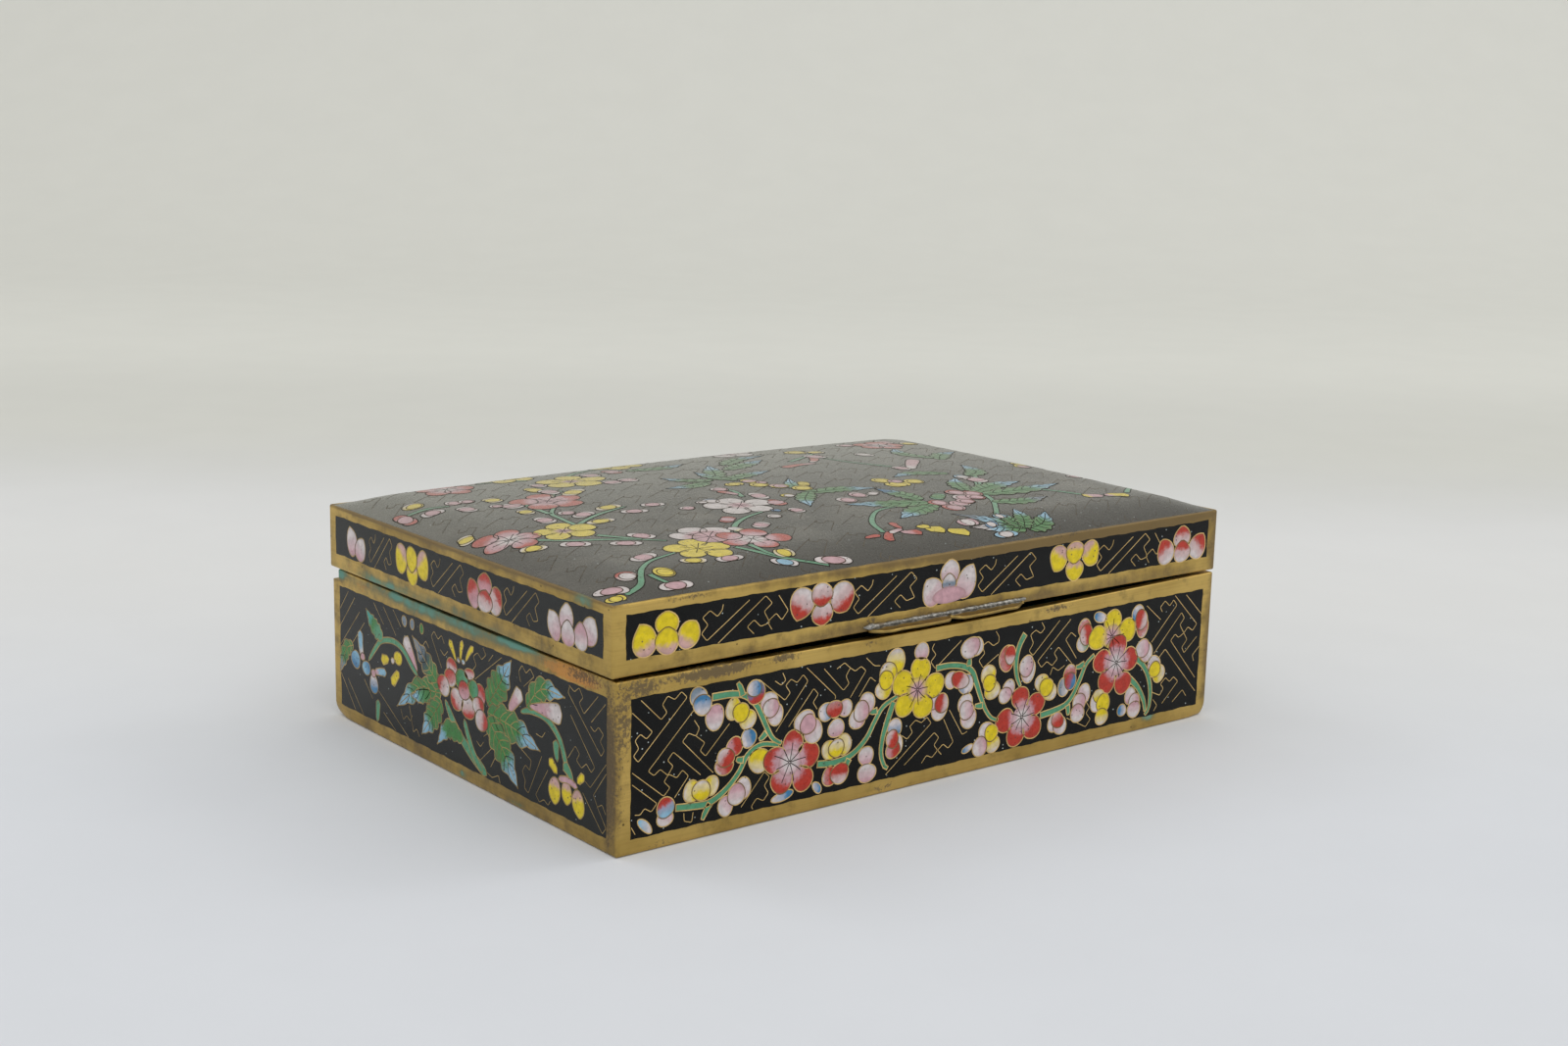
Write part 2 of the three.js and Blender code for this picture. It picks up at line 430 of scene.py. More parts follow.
def cell(panel, outline, tints, reach, wired=True, share=0.9):
    """A closed plate of enamel inside its wire.

    reach runs from 0 at the first tint to 1 at the last one. share is how much of the cell
    counts as touching others.
    """
    outline = np.array(outline, float)
    if area_of(panel.turned(outline)) < 0:
        outline = outline[::-1]
    count = len(outline)
    centre = outline.mean(0)
    size = np.linalg.norm(outline - centre, axis=1)
    middle = panel.turned([centre])[0]
    over = panel.over_cells(panel.turned(outline))
    rise = panel.rise_over([(*middle, size.mean() * share)])
    inner = centre + (outline - centre) * FLAT_SHARE
    flat = np.concatenate([[centre], inner, outline, outline])
    turned = panel.turned(flat)
    heights = np.full(len(flat), rise)
    heights[-count:] = rise - PLATE
    faces = []
    for k in range(count):
        after = (k + 1) % count
        faces.append([0, 1 + k, 1 + after])
        for ring in (0, 1):
            start = 1 + ring * count
            faces.append([start + k, start + count + k, start + count + after, start + after])
    faces.append([1 + 2 * count + k for k in reversed(range(count))])
    rims = np.concatenate([np.zeros(1 + count), np.ones(2 * count)])
    paint(panel, turned, heights, faces, tints, reach(flat), rims)
    if wired:
        wire(panel, outline, WIRE, rise + WIRE_PROUD, closed=True, over=over)
    return rise


def paint(panel, turned, heights, faces, tints, reach, rims):
    """Adds a cell's glass with its first, middle and last tint at every point."""
    first, second = TINTS[tints[0]], TINTS[tints[-1]]
    if len(tints) > 2:
        third = TINTS[tints[1]]
    else:
        share = PINK_YELLOW_BLEND if tints == "PY" else RED_BLEND if "R" in tints else EVEN_BLEND
        third = first * (1 - share) + second * share
    count = len(turned)
    panel.cells.add(
        panel.place(turned, heights),
        panel.normals(turned),
        faces,
        inner=np.tile(first, (count, 1)),
        middle=np.tile(third, (count, 1)),
        outer=np.tile(second, (count, 1)),
        reach=reach,
        rim=rims,
    )


def band(panel, line, widths, tints, reach=None):
    """A long cell about a centre line, with a width at each of its points."""
    line = panel.turned(line)
    count = len(line)
    aside = sideways(line) * np.asarray(widths)[:, None] / 2
    left, right = line + aside, line - aside
    circles = [(*point, max(width / 2, 0.2)) for point, width in zip(line, widths)]
    rise = panel.rise_over(circles[:: max(1, count // 9)])
    flat = np.concatenate([left, line, right, right, left])
    heights = np.full(len(flat), rise)
    heights[3 * count :] = rise - PLATE
    faces = []
    for k in range(count - 1):
        for edge in range(5):
            here = edge * count + k
            there = (edge + 1) % 5 * count + k
            faces.append([here, there, there + 1, here + 1])
    faces.append([edge * count for edge in (4, 3, 2, 1, 0)])
    faces.append([edge * count + count - 1 for edge in range(5)])
    run = np.linspace(0, 1, count) if reach is None else np.asarray(reach)
    rims = np.repeat([1.0, 0.0, 1.0, 1.0, 1.0], count)
    paint(panel, flat, heights, faces, tints, np.tile(run, 5), rims)
    loop = np.concatenate([left, right[::-1]])
    far = np.linalg.norm(np.diff(loop, axis=0, append=loop[:1]), axis=1) > 0.02
    wire(panel, loop[far], WIRE, rise + WIRE_PROUD, closed=True, turn=False)
    return rise


def toward(angle, origin, size):
    """A reach that grows across a cell in one direction."""
    way = np.array([math.cos(math.radians(angle)), math.sin(math.radians(angle))])
    return lambda flat: (flat - np.array(origin)) @ way / (2 * size) + 0.5


def ellipse(panel, u, v, radius_u, radius_v, tilt=0, tip=None):
    """A hand-bent oval, drawn out to a point in the direction of its tip, if it has one."""
    rng = panel.rng
    angle = np.linspace(0, 2 * math.pi, OVAL_POINTS, endpoint=False)
    phases = [rng.uniform(0, 2 * math.pi) for _ in range(2)]
    uneven = 1 + OVAL_WOBBLE * np.sin(2 * angle + phases[0])
    uneven = uneven + OVAL_WOBBLE * np.sin(3 * angle + phases[1])
    turn = math.radians(tilt)
    if tip is not None:
        apart = np.abs((angle - math.radians(tip - tilt) + math.pi) % (2 * math.pi) - math.pi)
        uneven = uneven * (0.97 + 0.20 * np.exp(-apart / 0.32))
    across = radius_u * uneven * np.cos(angle)
    along = radius_v * uneven * np.sin(angle)
    x = u + across * math.cos(turn) - along * math.sin(turn)
    y = v + across * math.sin(turn) + along * math.cos(turn)
    return np.stack([x, y], axis=1)


def bud(panel, u, v, radius_u, radius_v, tilt, tints, angle, pointed=False):
    """A round bud or petal whose colour changes in one direction."""
    shape = ellipse(panel, u, v, radius_u, radius_v, tilt, tip=angle if pointed else None)
    grow = toward(angle, (u, v), max(radius_u, radius_v))
    lead = panel.leads.get(tints, 0)
    cell(panel, shape, tints, lambda flat: grow(flat) + lead)


def folded_bud(panel, u, v, radius_u, radius_v, tilt, tints, angle):
    """A bud of two pale side petals with a third one over them."""
    if abs(radius_u - radius_v) < 0.35:
        bud(panel, u, v, radius_u, radius_v, tilt, tints, angle)
        bud(panel, u + 0.15, v - 0.2, radius_u * 0.72, radius_v * 0.72, tilt, tints[0] * 2, angle)
        return
    lengthwise = radius_u > radius_v
    long, short = max(radius_u, radius_v), min(radius_u, radius_v)
    turn = math.radians(tilt if lengthwise else tilt + 90)
    way = np.array([math.cos(turn), math.sin(turn)])
    for side in (1, -1):
        place = np.array([u, v]) + way * side * long * 0.38
        outward = math.degrees(turn) + (0 if side > 0 else 180)
        bud(panel, *place, long * 0.62, short * 0.92, math.degrees(turn), tints, outward)
    bud(panel, u, v, long * 0.58, short * 0.92, math.degrees(turn), tints[0] * 2, angle)


def stamens(panel, centre, height, count, reach):
    """Short wires that radiate from the middle of a blossom."""
    for k in range(count):
        angle = 2 * math.pi * (k + panel.rng.uniform(-0.2, 0.2)) / count
        far = reach * panel.rng.uniform(0.75, 1.05)
        way = np.array([math.cos(angle), math.sin(angle)])
        bend = np.array([-way[1], way[0]]) * panel.rng.uniform(-0.15, 0.15)
        line = [centre + way * STAMEN_START, centre + way * far * 0.6 + bend, centre + way * far]
        wire(panel, spline(line, 5), FINE_WIRE, height, skin=panel.stamens)


def blossom(panel, centre, petals, tints, spread, rays=9, swell=1.06):
    """An open flower: round petals about a centre, with a middle and stamens over them.

    spread is how fast the tints change outward, and swell is how much the petals overlap.
    """
    centre = np.array(centre, float)
    apart = [np.linalg.norm(np.array([u, v]) - centre) for u, v, _ in petals]
    far = max(gap + radius for gap, (_, _, radius) in zip(apart, petals))

    def grow(flat):
        return np.linalg.norm(flat - centre, axis=1) / far * spread

    for u, v, radius in petals:
        outline = ellipse(panel, u, v, radius * swell, radius * swell)
        cell(panel, outline, tints, grow, share=0.75)
    middle = ellipse(panel, *centre, far * EYE_SHARE, far * EYE_SHARE)
    top = cell(panel, middle, tints, grow, wired=False)
    stamens(panel, centre, top + 2 * WIRE_PROUD, rays, far * STAMEN_SHARE)


def stem(panel, text, width=1.2):
    """A green branch along a curve, narrower at its far end."""
    line = points_of(text)
    count = max(4, int(length_of(line) / 0.9))
    line = spline(line, count)
    share = np.linspace(0, 1, count)
    widths = width * (1 - (1 - STEM_TAPER) * share**2) * (1 + 0.06 * np.sin(share * 9 + line[0, 0]))
    band(panel, line, widths, "GG")


def stroke(panel, text, start, end, tints):
    """A cell along a curve that widens or narrows from one end to the other."""
    line = points_of(text)
    count = max(6, int(length_of(line) / 0.5))
    line = spline(line, count)
    share = np.linspace(0, 1, count)
    widths = start + (end - start) * share
    ends = np.sqrt(np.clip(1 - (2 * share - 1) ** 8, 0.02, 1))
    band(panel, line, widths * ends, tints)


def leaf(panel, text, width, tints, veins, lobes=5):
    """A toothed leaf from its stalk to its tip, with a rib and side veins of wire."""
    line = points_of(text)
    count = max(12, int(length_of(line) / 0.45))
    line = spline(line, count)
    share = np.linspace(0, 1, count)
    body = np.sin(math.pi * share**0.7) ** 0.7 * np.clip((1 - share) / 0.34, 0, 1) ** 0.45
    teeth = 0.82 + 0.34 * np.abs(np.sin(math.pi * (lobes * share + 0.15)))
    widths = np.maximum(width * body * teeth, 0.12)
    rise = band(panel, line, widths, tints, reach=np.clip(share * 1.25 - 0.2, 0, 1))
    if not veins:
        return
    height = rise + 2 * WIRE_PROUD
    turned = panel.turned(line)
    aside = sideways(turned)
    wire(panel, turned[: int(count * 0.93)], RIB_WIRE, height, turn=False)
    for k in range(veins):
        at = 0.12 + 0.68 * k / veins
        here = int(at * (count - 1))
        there = min(count - 1, here + max(2, int(0.13 * count)))
        for side in (1, -1):
            tip = turned[there] + side * aside[there] * widths[there] * 0.42
            bend = (turned[here] * 0.55 + tip * 0.45) + side * aside[here] * 0.06 * width
            outer = at > 0.5 and not panel.crowned
            skin = panel.stamens if outer else panel.wires
            vein = spline([turned[here], bend, tip], 4)
            wire(panel, vein, FINE_WIRE, height, turn=False, skin=skin)


def fret(panel, lines, width=FRET_WIRE):
    """Lines of the key-fret on the black ground, under every cell."""
    for text in lines:
        line = points_of(text) if isinstance(text, str) else np.asarray(text, float)
        low, high = panel.field
        line = np.clip(panel.turned(line), np.array(low) + FRET_MARGIN, np.array(high) - FRET_MARGIN)
        steps = np.linalg.norm(np.diff(line, axis=0), axis=1)
        line = line[np.concatenate([[True], steps > 0.05])]
        if len(line) > 1:
            bent = refined(panel, rounded(line, FRET_BEND))
            wire(panel, bent, width, panel.first * 0.6, turn=False, skin=panel.frets)


def refined(panel, line):
    """The same line, with more points where it has to follow the dome."""
    if not panel.crowned:
        return line
    parts = []
    for start, end in zip(line, line[1:]):
        steps = max(1, int(np.linalg.norm(end - start) / 1.5))
        share = np.linspace(0, 1, steps, endpoint=False)[:, None]
        parts.append(start + (end - start) * share)
    return np.concatenate([*parts, line[-1:]])


def meander(field, pitch, rng, rows):
    """A key-fret of long diagonals that turn back on themselves in square steps."""
    (low_u, low_v), (high_u, high_v) = field
    root = math.sqrt(0.5)
    lines = []
    long = 5
    step = [(0, 1), (-1, 1), (-1, 2), (0, 2), (0, 3)]
    reach = int((high_u - low_u + high_v - low_v) / pitch) + 2
    for row in range(-rows, rows):
        for at in range(-2, reach, long + 3):
            start = at + (row % 2) * 4
            path = [(start, 4 * row)]
            path += [(start + long + a, 4 * row + b) for a, b in step]
            path += [(start + 1, 4 * row + 3)]
            line = [((a + b) * root * pitch, (a - b) * root * pitch) for a, b in path]
            line = np.array([low_u, low_v]) + line + rng.uniform(-0.15, 0.15)
            inside = (line[:, 0] > low_u) & (line[:, 0] < high_u)
            inside &= (line[:, 1] > low_v) & (line[:, 1] < high_v)
            runs = np.split(np.arange(len(line)), np.flatnonzero(np.diff(inside.astype(int))) + 1)
            lines += [line[run] for run in runs if inside[run[0]] and len(run) > 1]
    return lines


# The drawings. Each number is a place or a size on the field, in millimetres from the lower
# left corner of its wall. A row with commas is one line, through places written as u,v.

FRONT_FRET = """
5,27.2 9.2,23.1 10.4,24.2 9.4,25.7 10.5,27.1 12,26.2 13.4,27.4 14.6,26.2 \
4.5,16.4 3.5,17.6 4.6,18.8 3.8,20.3 4.9,21.3 6.2,20.2 7.4,21.3 3.2,25.3
16,23.6 6.6,14.4 7.8,13.4 9.1,14.3 10.7,12.9 11.8,14.4 10.6,15.6 11.8,16.9 17.7,11.7
3.3,14.7 9.9,9.3 11.2,10.6 9.9,11.9 10.9,13.1 12.6,12.1 13.8,13.3 15.1,12 12.2,8.6
3.3,12.6 8.5,8.3 7.3,7 5.9,7.9 5,6.9 3.9,7.1
20.4,11.6 13.7,18.4 15,19.7 16.6,18.9 17.3,20.2 16.2,21.8
16.6,18.9 18.5,17.4 17.5,16.1 18.7,14.9 23.8,19.9
14.2,5.4 14.3,3.9 15.9,3.4 16.2,5.2
3.2,5 4,3.6
33.8,26 35.2,25 36.2,25.8 35.5,27.2
30.4,26.7 36.1,22.1 37.3,23.3 36.2,24.8 37.4,25.8 38.8,24.9 40.2,26.2 41.3,24.8 34.2,16.6
37.1,17 42.7,23.2 43.8,22 42.6,20.6 43.6,19.2
41,27.3 47.9,21 47.8,20.4
45,26.5 49.7,21.7 51,22.8 50.2,24.3 51.2,25.7
48,26 49.8,26.9 51.2,25.7 52.4,24.9 53.8,25.6 55,24.6 51.4,20.1
55,27 57,25.2 58.4,25
53.5,19.9 56.1,23.2 57.4,22.2
26.7,4 31.8,9.6 33,8.4 31.8,7 32.8,5.5 31.7,4.2 30.2,5 29,3.7 29.3,3.1
71.8,27.2 71.2,26.3 72.3,25 71,23.8 72.2,22.3 78.7,26.8
84.5,25 85.8,25.6 87.2,24.5 88.6,25 88.7,26 87.8,27.3
84.3,24.8 85,23.3 83.5,22.1 84.7,20.5 88.7,22.6
66.3,12 67.7,13 69.2,12.2 70.6,13.1 71.7,11.7 60.6,3.6
66.3,12 67,10.7 65.7,9.6 64.4,10.5
65.2,4.6 72.6,9.7 73.8,8.5 72.6,7.2 73.6,6 72.2,4.8 70.8,5.5 69.6,4.2
74.6,5 73.6,6 75,7 76.3,5.9 77.6,7 74.9,11.9
76.3,13.5 79.9,8 81.2,8.4
100.2,27.3 101.1,26 100,25.1 98.6,26 97.2,25.2 98.1,23.4 97,22 98.1,20.9 105.2,27
108.3,26.8 99.5,19.5 100.6,18.1 102.1,19.1 103.6,18 105,19.2 104,20.5 105.2,21.6 109.2,17.6
110,23 108.6,24.1 107.1,22.8 110.4,18.5
103.2,16.2 103.8,17.7 105.4,16.7 107.2,17.5
108.5,6.4 114.1,3.6 115.4,5 114,6.5 115,7.5 113.8,9
130.5,26.5 134.9,23
135.3,24.6 134.6,25.6 136,26.8 137.5,25.5 138.6,26.7 139.7,25.4 132.5,18.5
133.5,16 141.3,23.6 142.3,22.3 141,21 143.5,17.5 142,16 142.8,14.7 146.5,17.7
139,27.5 146.3,20.5 145.1,19.2 143.6,20.2 142.3,19 140.8,18.3 139.7,19.2 138.4,18 146.7,8.8
142.5,27.2 147.5,22.5
135,14.8 136.9,16.4 147,5.8
147.5,15.5 145.5,13.8 146,12.5
133.5,7.7 136,6.6 137,8 136,9 137.5,10.2 138.8,9.1 140,10 141.4,8.8 136.8,4.7
140,4.5 143,6.7 144.2,5.2
134,6 135.3,4.6 134.4,3.5
""".strip().splitlines()

FRONT_STEMS = """
12.5,6.7 16,6.3 19.5,6.2 23,7.8 26,10.5 28,13.5 31,14.8 35,14
19.8,6 18.9,4.8 18.2,3.4
27,12.7 26.2,12.8 25.5,13.1
20,25.3 24,25.2 27,24.5 29.5,22.5 31,20 32,18 33.5,15.5 35.5,14.2
26.6,24.5 26.2,25.8 25.5,27
32,16.8 31.2,16.1 30.5,15.8
44,8.7 48,8.3 52,9 55.5,11.5 57.5,14.5 59.5,17 63,18.5
58,16.5 57.2,16.4 56.3,16.5
51.5,8.3 51,7.4 50.5,6.5
62,17.5 60.8,14.5 59.6,11 59.3,7.8 60.3,5.2 61,4.8
72.5,22.3 76,22.3 79.5,21.6 81.8,20.3 83,18 84.3,15 85.8,12 87.5,10 89.3,9.3
81,21.5 81,22.4 81.2,23.3
85,13 84,13 83,13.2
95.7,25.6 94.3,23.5 93.6,20.5 93.9,17.5 95,15.2
101,8.2 105,8.6 108,9.3 110,11 111.8,14 113.3,16.8 115.5,18.4
108.6,9 108.8,8 108.9,7
112.8,17 111.6,16.6 110.5,16.6
127.5,16 130,14.3 132,11.5 133,8 132.8,4.5 131.7,3.2
126.5,11.7 129,9.5 131,6.5 131.7,4
""".strip().splitlines()

# Buds: place u and v, radii along and across, tilt, tints, and the direction of the second tint
FRONT_BUDS = rows_of("""
10.2 5.3 1.8 1.5 0 PW 250
10.3 7.2 1.9 1.9 0 LR 110
15.8 9 1.8 2 0 YW 180
20 9.3 1.7 1.8 0 YW 0
17.9 8.8 2 1.9 0 YW 90
23.2 4.9 1.7 1.9 0 PW 230
27 7.4 1.8 2.1 0 PW 40
25.6 6.6 2 2 0 WP 90
25 15.5 1.8 1.8 0 PR 10
22.8 12.3 2 1.7 0 RW 210
23.1 13.8 1.9 1.8 0 WR -40
28.1 16.5 1.75 1.75 0 WB 20
20.6 21.6 2 2.4 -15 WP 90
17 25.9 1.8 1.8 0 WK 120
17.9 24.3 2 1.9 0 WB 90
24.6 22.4 1.6 2.1 0 YW 180
27.8 20 1.8 1.9 0 YW -60
26.3 21.5 1.8 1.8 0 YY 0
29.6 24.6 1.9 2.3 -10 BR -70
29.2 25.4 1.7 1.5 0 BW 180
32.5 22.3 1.9 2 0 PW 90
34 19.8 1.8 2 0 PW -60
33 21.2 1.8 1.8 0 WP 0
30.6 11.9 2.4 2.3 0 WY 80
40.8 17.3 2.4 2.2 0 PW 130
42.8 15.2 2.2 2.3 0 PW -50
41.6 16.7 1.9 1.9 0 PP 0
45.8 18.3 1.9 1.7 0 BW 180
50.2 18.3 1.7 1.7 0 PW 0
47.7 18.5 2 1.6 0 RW 100
48.2 14.8 1.9 1.8 0 PW 100
46.8 10.9 1.9 1.8 0 WY 0
50.2 11.4 1.8 2 0 YW 20
48.4 11 1.9 1.7 0 YW 90
47 5.9 1.8 1.9 0 RW 180
49.3 6 2.2 2 0 WR 90
53.2 15.7 1.9 2 0 PW 180
55.5 18.3 1.8 2.2 0 PW 60
54.2 17 1.9 2 0 WP 0
55.6 8.2 1.9 1.8 0 PW 90
55.9 4.8 2.2 1.9 0 PW 90
62.3 25.3 2.3 2.4 0 YW 80
60.4 23.2 2.1 2.2 0 YW 130
59.4 20.2 1.9 1.8 0 YW 190
60 22 1.7 1.9 0 YY 90
68.7 26.2 1.8 1.7 0 PW 90
62.5 12.4 1.8 1.8 0 BW 90
63.2 9 1.4 2 0 PW 0
62.2 8.2 1.8 1.7 0 PR 0
62 10.3 1.5 1.9 0 WR -30
76.5 19.4 1.7 1.7 0 PW 180
80.3 18 2.1 2 0 BW -30
78.8 19 2.4 1.7 -20 WR 150
73.6 14 2.1 2 0 PW -90
72.4 16 1.8 1.8 0 PW 150
74.2 15.2 1.8 1.9 0 WR 170
80.4 14 1.9 2.1 0 PW 100
81.4 11 2 2.1 0 PW -70
80.8 12.7 1.9 1.9 0 PW 180
82.8 25 1.8 1.8 0 PW 0
81.2 25 2.6 2 15 PW 200
86.2 18.9 1.9 2 0 YW 120
87.4 15.6 2.1 1.8 0 YW -50
86.6 17.2 1.7 1.7 0 YY 0
86.3 7.4 2 2.1 0 PW 160
88 4.7 2 1.8 0 YW -70
87.6 7 1.7 1.8 0 YY 90
84.7 4.7 1.9 2.1 0 PW 200
91 21.4 2.1 2.6 0 RW 200
91.9 22 1.5 1.9 0 WR 90
91.9 15.2 1.6 1.9 0 PW 90
91 14 1.8 1.6 0 PW 200
97 18 2 2.4 0 PW -30
96.5 19 1.9 2.2 0 PW 150
101 14.9 1.9 1.8 0 YW 150
103.3 12.7 1.9 1.8 0 YW -40
102.3 13.8 1.9 1.9 0 YY 90
104.8 5.9 1.7 1.8 0 PW 180
106.6 5.2 1.9 1.9 0 PW -40
105.9 6.4 1.8 1.6 -40 RW 120
107.1 13 1.6 1.9 0 WK 180
108.8 15.6 1.8 1.8 0 RW 90
109 14 1.7 1.8 0 RB -20
113.2 10.8 1.8 2 0 PW 40
111.9 9 1.9 2 0 WP 0
111.5 6.9 2 1.9 0 PW -90
112.4 24.4 1.8 1.9 0 RW 120
112.2 21.4 1.8 1.9 0 DW 200
112.9 23 1.8 2.2 0 WR 20
116.8 8.2 1.7 2 0 WW 0
117.5 9.5 1.6 1.4 0 YW 90
118.9 7.8 2 2 0 YY 0
118.6 5 1.9 1.7 0 YW -90
124.6 5.3 1.3 1.3 0 WB 180
126.9 8 1.7 1.8 0 PW 90
128.2 6.6 1.7 1.7 0 WP 0
128.2 4.9 1.9 1.8 0 PW -90
128 25.2 1.8 1.9 0 BW 60
129.4 22.3 1.8 2.3 0 RW -60
129 23.8 1.8 2.2 0 WR 160
131 16.6 1.9 2.2 0 PW 0
129.9 17.6 2 2 0 WP 0
133.6 13.7 1.9 1.9 0 PW 90
135.2 11.5 1.8 2 0 YW 0
134 12.5 1.7 1.8 0 YY 0
116.8 26 1.9 1.1 -20 BW 0
6 4.7 1.9 0.85 -45 LW 0
81.4 4.9 1.5 0.7 20 BW 0
36 4.2 2.5 0.9 10 WB 0
44 4.3 1.4 0.8 -50 WB 0
""")

# Blossoms: middle, petals as place and radius, tints from the middle outward, and how fast
# the tints change
FRONT_BLOSSOMS = [
    (
        (37.5, 10.3),
        [(38.2, 13.7, 2.3), (41.8, 11, 2.4), (40.6, 6.7, 2.3), (35.7, 7.1, 2.3), (34.1, 11.3, 2.4)],
        "WPR",
        1.12,
    ),
    (
        (67.9, 18.9),
        [(68.5, 22.7, 2.3), (72.1, 19.1, 2.3), (69.4, 15.5, 2.3), (64.8, 16.4, 2.2), (64.2, 20.7, 2.4)],
        "PYY",
        1.0,
    ),
    (
        (95.8, 8.8),
        [(95.2, 12.8, 2.2), (99.6, 10.9, 2.2), (98.8, 6.2, 2.3), (94.2, 5.3, 2.2), (91.2, 8.8, 2.3)],
        "WPR",
        1.25,
    ),
    (
        (120.5, 21.5),
        [(120.6, 24.7, 2.3), (125, 22.3, 2.3), (116.3, 21.8, 2.4)],
        "PYY",
        0.95,
    ),
    (
        (122.2, 15.8),
        [(122.4, 19.2, 2.4), (117.9, 16.7, 2.3), (119.6, 12.2, 2.4), (124.4, 11.2, 2.3), (126.1, 16, 2.3)],
        "WPR",
        1.3,
    ),
]


def prunus_field(panel, left_out=None):
    """The long fields: prunus branches over the key-fret. One bud in so many may be left out."""
    panel.leads = PRUNUS_LEADS
    fret(panel, FRONT_FRET)
    for text in FRONT_STEMS:
        stem(panel, text)
    for k, spot in enumerate(FRONT_BUDS):
        if left_out is None or k % left_out:
            bud(panel, *spot)
    for flower in FRONT_BLOSSOMS:
        blossom(panel, *flower)


LEFT_FRET = """
3,15.5 11.5,24
5,13.7 13.5,22.2
3,19.5 9.5,26.5
3,23 6.8,27.3
17.5,27.2 21.5,23.6
21.5,27.2 26.5,22.4
25.5,27.4 28.5,24.6
13,10.5 16.5,7.2
6,9 12.5,2.9
2.5,9.5 9,3.2
21,5.5 26,2.8
19,9.5 31,2.9
28,8 29,6 30.4,7.2 31.8,6.4 32.6,7.8
31.5,9.5 33,4.5 34.3,5.5 35.4,4.2
37,22.7 38.3,24 39.5,22.8
44.3,20 40.4,25.4 41.5,26.6 43,25.3 44.3,26.4 45.3,25
43.8,23.5 45.3,22.6 46.6,23.8
56.5,20.7 66,27
55.5,22 57,23.5 56,25 57.5,26 59,25 60.5,26.2 59.5,27.4
61.5,25.3 63,26.8
57,9 58.3,8.2 59.5,9.4
58,5.4 63.7,10
59.5,10.5 62.3,12.3
62,5.3 64.3,8.5
60,4 62.5,3.4 64.7,4.4 65.3,3
71,12.2 76,10.3 75.5,8.3 74,9 73,7.5 74,6 73.7,4.6 75,3.9 79.5,12
81.5,10 77.5,4.4 78.7,3.3 80.2,4.2 81.6,3.5 82.3,4.5
72.5,24 71.8,25.8 73,27.2 74.3,26 75.7,27.2 77,26 73.5,23.4
77.6,15.7 79.6,15.5 80.6,16.7
88.5,27 88,25.8 98.3,17 99.3,18.3 98,19.6 99,21 97.5,22 96.3,20.8 95,21.5
88.3,27.2 90,26.4 91.5,27.5 92.7,26 91.5,24.8 93,23.2 97.3,27.3
95.3,22.3 99.6,26.5
88,14 90.3,16.8 91.7,15.7 90.7,14.3 92.3,13.3 93.8,14.5 95.3,13.3 96.4,14.5 88.8,22
100.5,16 95,10.5 93.5,11.3
100.7,14.3 96,9.5 97.3,7.7 98.7,8.5 99.8,7
92.7,9 98.8,3.3 99.9,4.6 97,8
""".strip().splitlines()


